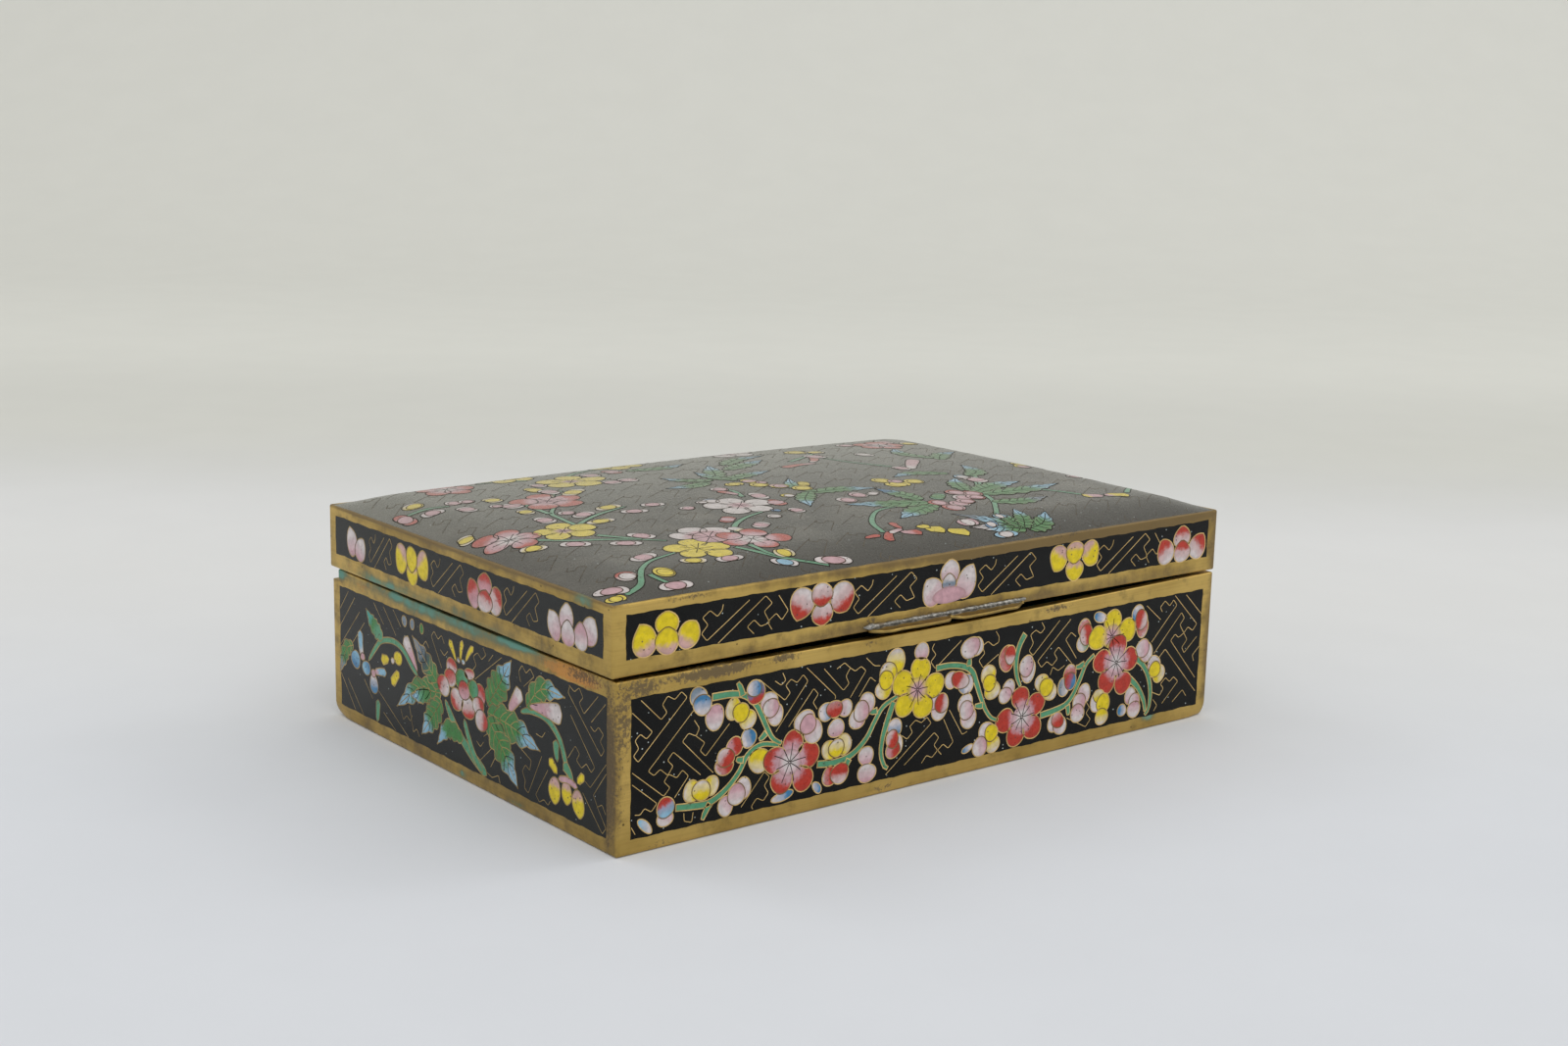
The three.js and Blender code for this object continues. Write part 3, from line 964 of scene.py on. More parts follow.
def peony_field(panel):
    """The end fields: a peony with leaves, an orchid and two small flowers."""
    fret(panel, LEFT_FRET)
    for drawn in [
        ("45.5,14 49,10 54,6.5 60.5,3.3", 1.5, 2.3),
        ("52.5,12 54,9 56,6 59,3.5", 1.3, 1.6),
        ("15,14.8 18,18 20.5,20 25,21 29,20.3 33,17.5 35,16.2", 1.0, 1.3),
        ("72.5,18.5 76,19.5 81,19.3 85,17 87,13.5 88,10.5", 1.2, 1.3),
        ("18.8,7.5 18.6,5.2 18.3,3", 1.9, 1.2),
        ("86.6,12.6 88.4,11.4 89.6,9.9", 2.4, 0.8),
        ("84.2,16.2 84.2,14.3 84.6,12.4", 2.2, 1.0),
    ]:
        stroke(panel, *drawn, "GG")
    for drawn in [
        ("44,15 35,13.5 26.5,8.2", 4.6, "DDL", 6),
        ("40,14 36,12.6 32.2,11.6", 3.0, "DGL", 0),
        ("44,13.5 40.5,9.5 36.3,5", 5.0, "DDL", 5),
        ("43.5,16 38,20 33,23.8", 4.4, "DZK", 5),
        ("21,20.5 17.5,22.5 14.2,25.3", 3.4, "GDT", 0),
        ("8.5,16.5 5.5,15 2.5,9.5", 3.2, "DDK", 3),
        ("61,17 65,21.5 69.3,27.2", 6.0, "DDL", 6),
        ("61,15.5 70,14.8 79,12.8", 5.8, "DDL", 6),
        ("61,14.5 66,10 71.5,3.8", 6.2, "DDL", 6),
        ("74.5,20 79.5,24.3 87,24.6", 4.2, "DDL", 4),
        ("52,8 46.5,8.6 42.3,4.6", 3.6, "DDL", 0),
    ]:
        leaf(panel, *drawn)
    for drawn in [
        ("34.8,17.2 32.5,20 29.8,22.8", 0.8, 3.4, "PPW"),
        ("75.5,20.3 80,20.8 86,21.2", 0.8, 4.4, "PPW"),
        ("68.5,17.8 70.5,20 72.6,22.3", 1.5, 3.4, "PPW"),
        ("12.2,15 11.7,17.6 11.6,20.2", 1.6, 2.2, "WLL"),
        ("17.5,13 20,13.6 22.3,13.8", 1.2, 1.8, "PLL"),
        ("23.5,17 22,16.6 20.3,16.2", 1.4, 2.4, "YY"),
        ("24.5,12.2 26,13.8 27.5,15.2", 2.2, 1.6, "YY"),
        ("84.5,10.2 83.4,11.2 81.9,12.2", 1.4, 2.1, "YY"),
        ("91,10.3 92,11.2 93.1,12.2", 1.2, 1.7, "YY"),
        ("85,9.4 88,9.9 91,9.4", 1.2, 1.2, "PP"),
        ("49.7,22.6 48.4,24.6 47.2,26.2", 0.5, 1.8, "YY"),
        ("51.3,23 51.5,25 52,27", 0.5, 1.4, "YY"),
        ("53.2,23.4 54.4,25.2 56,26.7", 0.5, 1.4, "YY"),
    ]:
        stroke(panel, *drawn)
    for drawn in [
        (27.2, 18, 1.6, 1.4, 0, "YY", 0),
        (25, 17, 0.7, 0.6, 0, "WW", 0),
        (9.5, 13.8, 1.9, 1.9, 0, "LB", 250),
        (14, 13, 1.8, 1.4, 0, "BL", 200),
        (17.1, 10.4, 1.7, 2.0, 0, "WB", -90),
        (12.5, 15, 0.9, 0.8, 0, "PP", 0),
        (17, 12.6, 0.9, 0.8, 0, "PP", 0),
        (83.7, 7, 2.0, 2.4, 0, "PY", -90, True),
        (91.3, 6.6, 1.9, 2.5, 10, "PY", -80, True),
        (87.6, 7.6, 1.7, 2.1, 0, "PY", -90, True),
        (29.9, 26.1, 0.9, 1.1, 25, "KK", 90),
        (33, 26.1, 0.8, 1.1, 0, "KK", 90),
        (36.7, 26, 0.7, 1.0, 0, "DD", 90),
        (50.6, 23, 0.6, 0.5, 0, "WK", 90),
        (52.3, 23, 0.6, 0.5, 0, "WL", 90),
        (54.5, 21.2, 1.8, 1.1, 10, "WR", 90),
        (48, 21, 1.9, 1.9, 0, "WR", 80),
        (58, 18, 2.3, 2.2, 0, "PR", 60),
        (51.6, 19.6, 2.4, 1.9, 20, "DG", 0),
        (56, 18.6, 1.7, 1.9, 30, "DG", 0),
        (47.5, 18.9, 2.1, 1.8, 0, "RW", -60),
        (44.9, 16.8, 2.3, 2.0, -10, "WR", 150),
        (57.7, 15.9, 2.1, 1.7, 0, "WR", 30),
        (58.8, 13.3, 2.3, 2.0, 0, "WR", -10),
        (49.8, 15.2, 2.3, 2.2, 0, "WR", 230),
        (54, 14.5, 2.4, 2.2, 0, "WR", -80),
        (52.5, 17.6, 2.0, 1.9, 0, "PR", 100),
    ]:
        bud(panel, *drawn)


BAND_UNIT = [
    "4.6,10 4.4,9 3.4,8 1.8,9.3 0.2,8.2 1.4,6.8 0,5.4 1.2,4 10.3,10",
    "3.6,3.2 13.9,10.3 15.4,8.8 13.6,7.5 14.9,5.3 12.9,4.9 11.4,6.3 9.9,5.2 11.4,3.8",
]
BAND_EXTRA = "16.8,10 19,7 17.6,5.4 16.3,6.8 14.4,5.5 15.4,4"


def band_fret(panel, start, scale, extra):
    """One unit of the band's key-fret, longer by one line where extra is true."""
    for text in BAND_UNIT + [BAND_EXTRA] * extra:
        line = points_of(text)
        line[:, 0] = start + line[:, 0] * scale
        fret(panel, [line])


# Petals of the half flowers on the lid's band, in the same order as the front's buds
FRONT_HALVES = rows_of("""
6.6 5.7 2.5 2.9 12 PY 110
15.7 5.6 2.4 2.5 -10 PY 50
11.2 8.2 2.5 2.1 0 YY 90
11.2 5.1 2.5 2.4 0 PY 90
40.6 7.9 2.8 3.0 18 WR 245
49.8 7.8 2.8 3.0 -18 WR -60
45.3 5.4 2.5 2.2 0 WR -90
45.1 8.9 2.6 2.1 0 WR -90
72 5.6 2.7 2.8 10 PW 130
80.4 6.4 2.6 3.2 -20 PW 60
76.2 8.8 2.4 2.5 0 PW 90
76 6.9 1.8 1.7 0 PKW 90
105.2 8.2 2.5 2.6 15 PY 240
114 8.2 2.5 2.6 -15 PY -50
109.7 5.3 2.5 2.1 0 PY -90
109.6 8.9 2.6 2.1 0 PY -90
136.4 5.5 2.5 2.8 12 WR 120
146 5.6 2.6 2.8 -12 WR 50
141.2 8.1 2.6 2.2 0 WR 90
141.4 5 2.5 2.3 0 WR 90
""")
LEFT_HALVES = rows_of("""
9.8 6.6 2.2 2.9 10 PW 110
13.2 5.6 2.3 2.4 -25 PW 60
30 7.3 2.3 3.0 10 PY 230
38.2 7.4 2.2 3.0 -10 PY -50
34.2 5 2.3 2.1 0 PY -90
34 7.9 2.2 2.4 0 YY -90
57 5.7 2.2 2.7 15 PR 120
64.7 5.8 2.2 2.8 -15 WR 40
61 8.2 2.5 2.1 0 PR 90
61 5 2.8 2.0 0 WR 80
84.3 5.6 2.1 2.8 15 PW 130
95.2 6.8 2.6 2.6 -25 PW 60
88.1 7.6 2.3 2.6 0 PW 90
92.6 5.3 2.2 2.5 0 WP 90
88.6 5 2.2 2.3 0 PW 90
""")


# Units of the band's key-fret: where each starts, how long it is drawn, and its extra line
FRONT_UNITS = [(18.4, 1, True), (52.5, 1, False), (83.5, 1, False), (116, 1, True)]
LEFT_UNITS = [(16.8, 0.62, False), (41.2, 0.8, False), (67.4, 0.78, False)]

# Enamel that joins petals: middle and radii
FRONT_JOINED = [(76.1, 4.6, 4.4, 1.55)]


def band_field(panel, halves, frets, joined=()):
    """The lid's band: half flowers on the key-fret, and pink enamel that joins some petals."""
    for unit in frets:
        band_fret(panel, *unit)
    for petal in halves:
        bud(panel, *petal, pointed=True)
    for spot in joined:
        cell(panel, ellipse(panel, *spot), "PP", lambda flat: np.zeros(len(flat)), wired=False)


TOP_STEMS = """
5,3.3 9,5 11.5,8.5 14,11.5 18,14.5 24.5,16.5
13,8 13.3,6 14.5,3.5
9.8,39.5 14,35 20,31 24.5,27.5 28,24
20,35 22.5,31 25,27.5
36,14 38,9.5 41.5,5.5 48,1.8
39.2,14 39.3,9 40.5,7
42.5,22 45,26 50,29.5 56,31.8
21,42 22,50 23,55 28,61
22.5,55 23,62 23.5,68
21.5,43.5 25,46 30,48.5 37,50.5
36,72 33,70 31,67
4,77 8,76.5 12,74.5
60.5,44 62.3,49 62,54
67.5,9.5 69,14 72,18 77,22 83,23
97.5,10 101,14 105,19 108,25 115,35
122,44 117,36 112,30
128,16 124,22 119,25
139,14 144,18 149,22
38,88 33,91 28,92
46,86 52,90 60,92
95,72 102,76 108,80
149.5,58 147,54 144,51
149,41 148,37 145,33
110,55 106,64 104.6,72
""".strip().splitlines()

TOP_LEAVES = [
    ("64,60 59,58.5 53,59.5", 4.0, "DDL", 4),
    ("66,61 61,65 59,70", 3.6, "DDL", 4),
    ("67,61 72,69 77,78", 4.4, "DDL", 5),
    ("68,60 75,62 83,64", 4.0, "DDL", 4),
    ("70,58 68,64 69,72", 3.0, "DGL", 4),
    ("75,40 82,40 90,37.5", 4.4, "DDL", 5),
    ("75,41 70,36 67,30.5", 4.0, "DDL", 4),
    ("76,40 76,47 80,54", 3.4, "DGL", 4),
    ("91,21 84,18.5 77,15.5", 5.0, "DDL", 5),
    ("91,23 83,25 74,28.5", 5.2, "DDL", 6),
    ("91,25 90.5,31 89,37", 4.8, "DDB", 5),
    ("106,26 116,30 125,31.5", 5.2, "DDL", 6),
    ("107,24 120,24.5 132,27", 4.8, "DDL", 6),
    ("104,18 111,16.5 119,17.5", 4.2, "DDK", 5),
    ("106,28 109,34 113,39", 4.2, "DDL", 4),
    ("99,3.4 94,8 89,14", 3.4, "DLK", 5),
    ("99,3.2 94,4.8 87,6.5", 3.4, "DLW", 5),
    ("98,3.6 98.4,7.4 98,11", 3.6, "DDL", 5),
    ("99.6,3 105,4.6 109.4,8.6", 4.0, "DDL", 5),
    ("99,3.6 102,7.4 103.8,12", 3.6, "DDL", 5),
    ("116,44 108,47 101,45", 3.8, "DDL", 4),
    ("118,40 124,44 127,52", 4.4, "DDL", 5),
    ("76,70 84,74 92,78", 4.6, "DDL", 5),
    ("80,76 88,82 97,84", 4.2, "DDL", 5),
    ("60,84 68,82 75,84", 4.2, "DDL", 5),
    ("128,60 134,66 141,69", 4.4, "DDL", 5),
    ("128,62 126,70 130,78", 4.2, "DDL", 5),
]

TOP_STROKES = [
    ("112,51.5 116,56 122,62", 2.2, 3.4, "WPP"),
    ("98,67 93,67 88,65.5", 1.6, 2.8, "PRR"),
    ("98,68.5 101,71 103,74", 1.4, 2.4, "WRR"),
    ("66,6 67.5,8 69,9.4", 2.4, 1.4, "RR"),
    ("62,8.3 64,8.6 66,8.6", 1.0, 1.6, "RR"),
    ("72.6,10 72.6,12 73.4,14", 1.2, 2.0, "RR"),
    ("71,8.6 73,8 75.4,7.4", 1.4, 2.6, "PR"),
    ("68.5,8.8 70.5,9.4 72.4,9.8", 1.4, 1.2, "WP"),
    ("77,8.2 79,7.8 81,7", 2.2, 3.2, "YY"),
    ("81,6.4 83,5.8 85.4,4.8", 2.0, 3.0, "YY"),
    ("76,9.8 77.6,9.4 79,9.6", 1.4, 2.2, "YY"),
    ("127,15 129.4,14.4 131.4,13.4", 3.4, 2.6, "YPP"),
    ("132,13.4 134.5,13.4 137.5,11.8", 2.2, 3.6, "PYY"),
    ("61,46 60.4,48.6 59.6,51", 1.4, 2.2, "PR"),
    ("44.6,19.6 44,22 43,25.4", 2.0, 2.6, "YW"),
]

# Petals and buds of the lid's top, in the same order as the front's buds
TOP_BUDS = rows_of("""
3 52.8 1.6 2.3 -20 YW 180
7 35.8 2.6 1.6 -45 YW 120
13.5 32 3 1.8 -35 PW 60
21 26.8 3 1.6 -35 PW 60
26.2 29.5 2.9 1.7 -60 PW 30
19 51 1.8 2.8 0 PW 90
25.4 53.4 1.8 1.8 25 PW 90
27 50 2.8 1.8 25 PW -90
34 52 3 1.8 10 YW 180
36 46 2.8 1.5 -25 PW -90
42 48.5 2.5 1.5 -20 PW 0
45.6 42 1.6 1.6 0 PW 90
26.5 43.3 3 1.6 0 YW 0
18 17 3.2 1.8 20 PW 180
9 9.3 2 2.2 0 WR 90
16 8 2.1 2.1 0 YY 0
15 3 3.6 1.3 0 PW 0
3.8 6 3.2 1.5 -30 PW 120
2.6 2.9 2 1.3 0 YY 0
24.3 10.7 2.6 1.4 -20 YW 180
31 9 3 1.3 0 PW 0
42.3 7.7 2.2 1.8 0 YW 0
40 4.6 2.7 1.2 -25 LW 180
50 3 4 1.3 -12 PW 0
46.5 30.3 2.3 1.6 40 PR 180
49.5 23.8 2.3 1.7 35 PW 0
55.8 27.8 1.6 1.4 0 WW 0
62.6 29.4 1.5 2 0 PW 90
59 31.3 1.1 1.1 0 BW 0
20 59.5 1.6 2.3 0 YW 0
21 66 2.2 2.6 0 PW 90
18.6 68 1.4 1.5 0 PW 90
21 73.4 1.9 2.4 0 YW 90
13 69.6 1.8 2.6 0 PW 90
14 76.6 1.8 2 0 PW 90
16.6 76 1.6 1.8 0 PW 90
7.4 73 2.4 1.9 0 PW 0
2.8 75.4 1.4 4 0 PR -90
7.5 81 2.2 2.2 0 YW 90
32.6 76.6 1.8 2.8 0 YY 90
36 80.6 1.6 2.4 0 PW 90
33.6 72.6 1.8 3 0 PW 90
37 69 3.6 2 35 YW 0
49 73 2 2.4 0 PW 90
53 73 2 2.4 0 PW 0
51 84 2 2.6 0 PW 90
57 85 1.8 2.8 0 PR 90
53 44.2 2 2 0 WB 0
50.8 44.4 1.2 1.2 0 WW 0
61 52.4 1.9 1.9 0 PW 90
63.8 43 1.7 3 -10 PW 90
63 36.5 1.9 2.6 0 PR 90
69 40.2 1.5 1.6 0 WY 90
77 31.5 2.1 2.2 0 PW 90
82 34 2 2.2 0 PW 0
85.6 33.6 1.8 1.2 30 WW 0
66.8 55 2.1 1.7 0 YY 0
71.4 56 1.8 2.2 0 PY 90
70.6 51.6 2 2.2 0 YY 0
73.2 48.4 2 2.2 0 PY -90
76 44.4 2.3 2.1 0 YY 0
79 47.6 1.4 2.2 -30 YY 0
72.6 53.4 1.2 1.4 0 PP 0
88.4 8.6 2.4 1.8 0 WP -90
92.6 6.4 1.8 1.1 20 WB 0
93 2.6 3 1 0 WL 0
97.4 9.2 1.5 1.1 0 WL 90
93 17.6 2.4 2.4 0 PR 200
96.4 19.6 2.2 2.2 0 PW -60
92.6 21.8 2.1 2.2 0 PR 150
100.8 23.4 2.3 2.3 0 PW 90
99 20.6 2 2 0 PR -60
105 25.4 2.4 2.4 0 PR 30
102.4 27.4 2.2 2.2 0 PR 90
103.6 22.6 2 2 0 PR -40
96.4 26 2.8 1.6 40 DG 0
116.4 36 2.4 2.8 0 PW 90
115.6 39.6 1.8 2 0 WL 90
96 43 2.2 2.4 0 YY 0
96.6 38.4 3 2.2 0 YY 0
102 39.6 2.4 2.2 0 YY 0
98.2 41 1.7 1.7 0 PP 0
110.4 53 1.8 2.4 0 PW 90
104.6 75.4 2.2 3 0 PW 90
116.6 72.6 2 2.6 0 WW 90
106 84 2.6 2.8 0 YY 90
109.6 81.6 2 2.4 0 YW 90
124 88 2.2 2.2 0 PW 90
140 84 2.2 2.2 0 YW 90
136 88 2 2.4 0 PW 90
143 50 2.2 2.2 0 YY 90
140.6 46.6 2 2.2 0 PY 90
146.4 47.4 1.8 2 0 YW 0
143 33 2 1.8 0 PW 90
146.6 30.6 1.8 1.8 0 PW 0
""")


def open_flower(u, v, turn, tints, spread):
    """A blossom of five equal petals around its middle."""
    far, radius = 3.6, 2.1
    petals = []
    for k in range(5):
        angle = math.radians(turn + 72 * k)
        petals.append((u + far * math.cos(angle), v + far * math.sin(angle), radius))
    return (u, v), petals, tints, spread


TOP_BLOSSOMS = [
    (
        (36, 21.8),
        [(32.2, 25, 2), (39.3, 24.5, 2.4), (35.8, 27, 2.2), (36, 21.6, 2.8)],
        "PPW",
        1.0,
    ),
    (
        (29.5, 16.5),
        [(26.3, 18.6, 2.1), (31, 20.2, 2.1), (33.2, 16.2, 2.1), (31.2, 12.3, 2.1), (26.8, 14.2, 2)],
        "YYY",
        1.0,
    ),
    (
        (42, 16.8),
        [(39.5, 20.5, 2), (38, 16.6, 2), (44.8, 20.2, 2.1), (47, 15.3, 2.1), (42.3, 13, 2)],
        "WPR",
        0.95,
    ),
    (
        (17, 41.5),
        [(14.2, 43, 2), (18.3, 45, 2.1), (21.2, 41.6, 2.1), (18.8, 38, 2.1), (14.2, 38.8, 2)],
        "PYY",
        1.3,
    ),
    (
        (7, 44),
        [(4.5, 48.4, 2), (8.6, 47.6, 2), (4, 43.6, 2), (10.3, 43, 2), (7.7, 39.8, 2)],
        "WPR",
        0.95,
    ),
    (
        (55.5, 38.2),
        [(51.4, 40.3, 2.2), (56, 42, 2.2), (60, 38.4, 2.2), (57, 34.2, 2.2), (52.2, 35, 2.2)],
        "PWW",
        1.0,
    ),
    (
        (28.5, 65),
        [(24.5, 67.6, 2.4), (29.6, 69.6, 2.3), (32.8, 65, 2.3), (30.2, 60.4, 2.4), (25.2, 61.5, 2.4)],
        "PPR",
        1.0,
    ),
    (
        (43.6, 80),
        [(40.2, 83, 2.3), (45.6, 84.4, 2.3), (48.6, 79.6, 2.3), (44.8, 75.4, 2.4), (39.8, 77.5, 2.3)],
        "PYY",
        1.4,
    ),
    open_flower(36.4, 94, 90, "PYY", 1.4),
    open_flower(63, 93, 110, "YYY", 1.4),
    open_flower(20, 90, 70, "WPR", 0.95),
    open_flower(93, 92, 80, "PWW", 1.0),
    open_flower(131, 84, 60, "WPR", 0.95),
]


def top_field(panel):
    """The lid's top: branches, leaves and flowers over a key-fret made by rule."""
    rng = random.Random(5)
    fret(panel, meander(panel.field, 1.65, rng, 40), width=DOME_FRET_WIRE)
    for text in TOP_STEMS:
        stem(panel, text, width=1.25)
    for drawn in TOP_LEAVES:
        leaf(panel, *drawn, lobes=6)
    for drawn in TOP_STROKES:
        stroke(panel, *drawn)
    for drawn in TOP_BUDS:
        folded_bud(panel, *drawn)
    for drawn in TOP_BLOSSOMS:
        blossom(panel, *drawn, rays=8, swell=1.24)


# Materials


def add(tree, kind, inputs=None, **settings):
    """A shader node with its settings, and with values or other nodes' outputs on its sockets."""
    made = tree.nodes.new("ShaderNode" + kind)
    for name, value in settings.items():
        setattr(made, name, value)
    for name, value in (inputs or {}).items():
        socket = made.inputs[name]
        if isinstance(value, bpy.types.NodeSocket):
            tree.links.new(value, socket)
        elif isinstance(value, (tuple, list, np.ndarray)) and socket.type == "RGBA":
            socket.default_value = (*value[:3], 1)
        else:
            socket.default_value = value
    return made


def new_material(name):
    """An empty material and its tree of nodes."""
    material = bpy.data.materials.new(name)
    material.use_nodes = True
    tree = material.node_tree
    tree.nodes.clear()
    return material, tree


def shaded(tree, sockets):
    """The surface of a material, from what goes on the sockets of its shader."""
    shader = add(tree, "BsdfPrincipled", sockets)
    add(tree, "OutputMaterial", {"Surface": shader.outputs[0]})


def coordinates(tree, scale=(1, 1, 1)):
    """Places on the object itself, stretched by a scale."""
    place = add(tree, "TexCoord").outputs["Object"]
    return add(tree, "Mapping", {"Vector": place, "Scale": scale}).outputs[0]


def depth_of(tree, place):
    """How far back a place is, in metres behind the middle of the box."""
    return add(tree, "SeparateXYZ", {"Vector": place}).outputs["Y"]


def noise(tree, vector, scale, detail=3.0, rough=0.55):
    sockets = {"Vector": vector, "Scale": scale, "Detail": detail, "Roughness": rough}
    return add(tree, "TexNoise", sockets).outputs[0]


def graded(tree, value, low, high, start=0.0, end=1.0):
    """A value that runs smoothly from start to end while another one runs from low to high."""
    sockets = {"Value": value, "From Min": low, "From Max": high, "To Min": start, "To Max": end}
    return add(tree, "MapRange", sockets, interpolation_type="SMOOTHSTEP").outputs[0]


def math_of(tree, operation, first, second):
    return add(tree, "Math", {0: first, 1: second}, operation=operation).outputs[0]


def times(tree, first, second):
    return math_of(tree, "MULTIPLY", first, second)


def plus(tree, first, second):
    return math_of(tree, "ADD", first, second)


def mixed(tree, share, first, second):
    """A colour between two others, the second one where the share is 1."""
    return add(tree, "Mix", {0: share, 6: first, 7: second}, data_type="RGBA").outputs[2]


def painted(tree, name, output_name="Fac"):
    """A value or colour that is written at the points of a mesh."""
    return add(tree, "Attribute", attribute_name=name).outputs[output_name]


def patchy(tree, name, texture, weight, low, high):
    """How far a painted stain shows, its soft edge broken up by a texture."""
    return graded(tree, plus(tree, painted(tree, name), times(tree, texture, weight)), low, high)


def dots(tree, vector, scale, size, share):
    """Small round specks, in a share of the grains of a texture."""
    cells = add(tree, "TexVoronoi", {"Vector": vector, "Scale": scale})
    chosen = add(tree, "SeparateColor", {"Color": cells.outputs["Color"]}).outputs[0]
    near = graded(tree, cells.outputs["Distance"], size * 0.6, size, 1, 0)
    return times(tree, near, math_of(tree, "LESS_THAN", chosen, share))


def bumped(tree, height, strength, distance):
    sockets = {"Height": height, "Strength": strength, "Distance": distance}
    return add(tree, "Bump", sockets).outputs[0]


def black_enamel(name, specular, roughness, dark, painted_glare=False):
    """Black glass with a few pale pinholes. On the dome its colour is painted darker near the front and
    paler towards the back: a painted sheen of the bright backdrop.
    """
    material, tree = new_material(name)
    place = coordinates(tree)
    cloud = noise(tree, place, 90, 4)
    base = mixed(tree, graded(tree, cloud, 0.4, 0.75), dark, tuple(1.9 * part for part in dark))
    if painted_glare:
        # Painted sheen: darker at the front edge, and washed to pale grey towards the back where the
        # backdrop's glare lies on the dome
        painted_near_shade = tuple(0.72 * part for part in dark)
        depth = depth_of(tree, place)
        near = mixed(tree, graded(tree, depth, -0.055, -0.03), painted_near_shade, base)
        base = mixed(tree, graded(tree, depth, -0.02, 0.045, 0, 0.8), near, (0.165, 0.163, 0.138))
    holes = dots(tree, place, 900, 0.145, 0.08 if painted_glare else 0.2)
    base = mixed(tree, times(tree, holes, 0.85), base, (0.56, 0.63, 0.62))
    fine = noise(tree, place, 1500, 2)
    shaded(tree, {
        "Base Color": base,
        "Roughness": graded(tree, fine, 0.2, 0.8, roughness * 0.9, roughness * 1.15),
        "Specular IOR Level": specular,
        "Normal": bumped(tree, noise(tree, place, 260, 2), 0.06, 0.0002),
    })
    return material


def colour_enamel(name, specular, roughness, painted_glare_share=0.0):
    """Opaque enamels laid wet beside each other: the tints blend in grains."""
    material, tree = new_material(name)
    place = coordinates(tree)
    grain = noise(tree, place, 1300, 4, 0.7)
    patch = noise(tree, place, 420, 2)
    shift = plus(tree, times(tree, grain, 0.45), times(tree, patch, 0.15))
    reach = plus(tree, painted(tree, "reach"), math_of(tree, "SUBTRACT", shift, 0.3))
    inner, middle, outer = (painted(tree, part, "Color") for part in ("inner", "middle", "outer"))
    base = mixed(tree, graded(tree, reach, 0.14, 0.46), inner, middle)
    base = mixed(tree, graded(tree, reach, 0.48, 0.76), base, outer)
    shade = graded(tree, noise(tree, place, 800, 3), 0.3, 0.7, 0.82, 1.06)
    base = add(tree, "HueSaturation", {"Color": base, "Value": shade}).outputs[0]
    rim = graded(tree, painted(tree, "rim"), 0.35, 1.0, 0, 0.3)
    base = mixed(tree, rim, base, (0.16, 0.12, 0.07))
    # Painted glare: the colours are mixed more and more towards pale grey towards the back, as the
    # backdrop's sheen pales them
    if painted_glare_share:
        haze = graded(tree, depth_of(tree, place), -0.05, 0.05, painted_glare_share * 0.4, painted_glare_share)
        base = mixed(tree, haze, base, (0.26, 0.25, 0.225))
    pits = dots(tree, place, 900, 0.2, 0.4)
    base = mixed(tree, times(tree, pits, 0.8), base, (0.06, 0.04, 0.035))
    shaded(tree, {
        "Base Color": base,
        "Roughness": graded(tree, grain, 0.3, 0.7, roughness * 0.8, roughness * 1.3),
        "Specular IOR Level": specular,
        "Normal": bumped(tree, grain, 0.12, 0.0001),
    })
    return material


def wire_metal(name, bright, dark, roughness):
    """Gilt wire, browned where it parts two cells."""
    material, tree = new_material(name)
    place = coordinates(tree)
    base = mixed(tree, graded(tree, noise(tree, place, 300, 3), 0.35, 0.65), bright, dark)
    base = mixed(tree, times(tree, painted(tree, "over"), 0.8), base, (0.10, 0.06, 0.035))
    fine = noise(tree, place, 900, 2)
    shaded(tree, {
        "Base Color": base,
        "Metallic": 1.0,
        "Roughness": graded(tree, fine, 0.3, 0.7, roughness * 0.8, roughness * 1.2),
    })
    return material


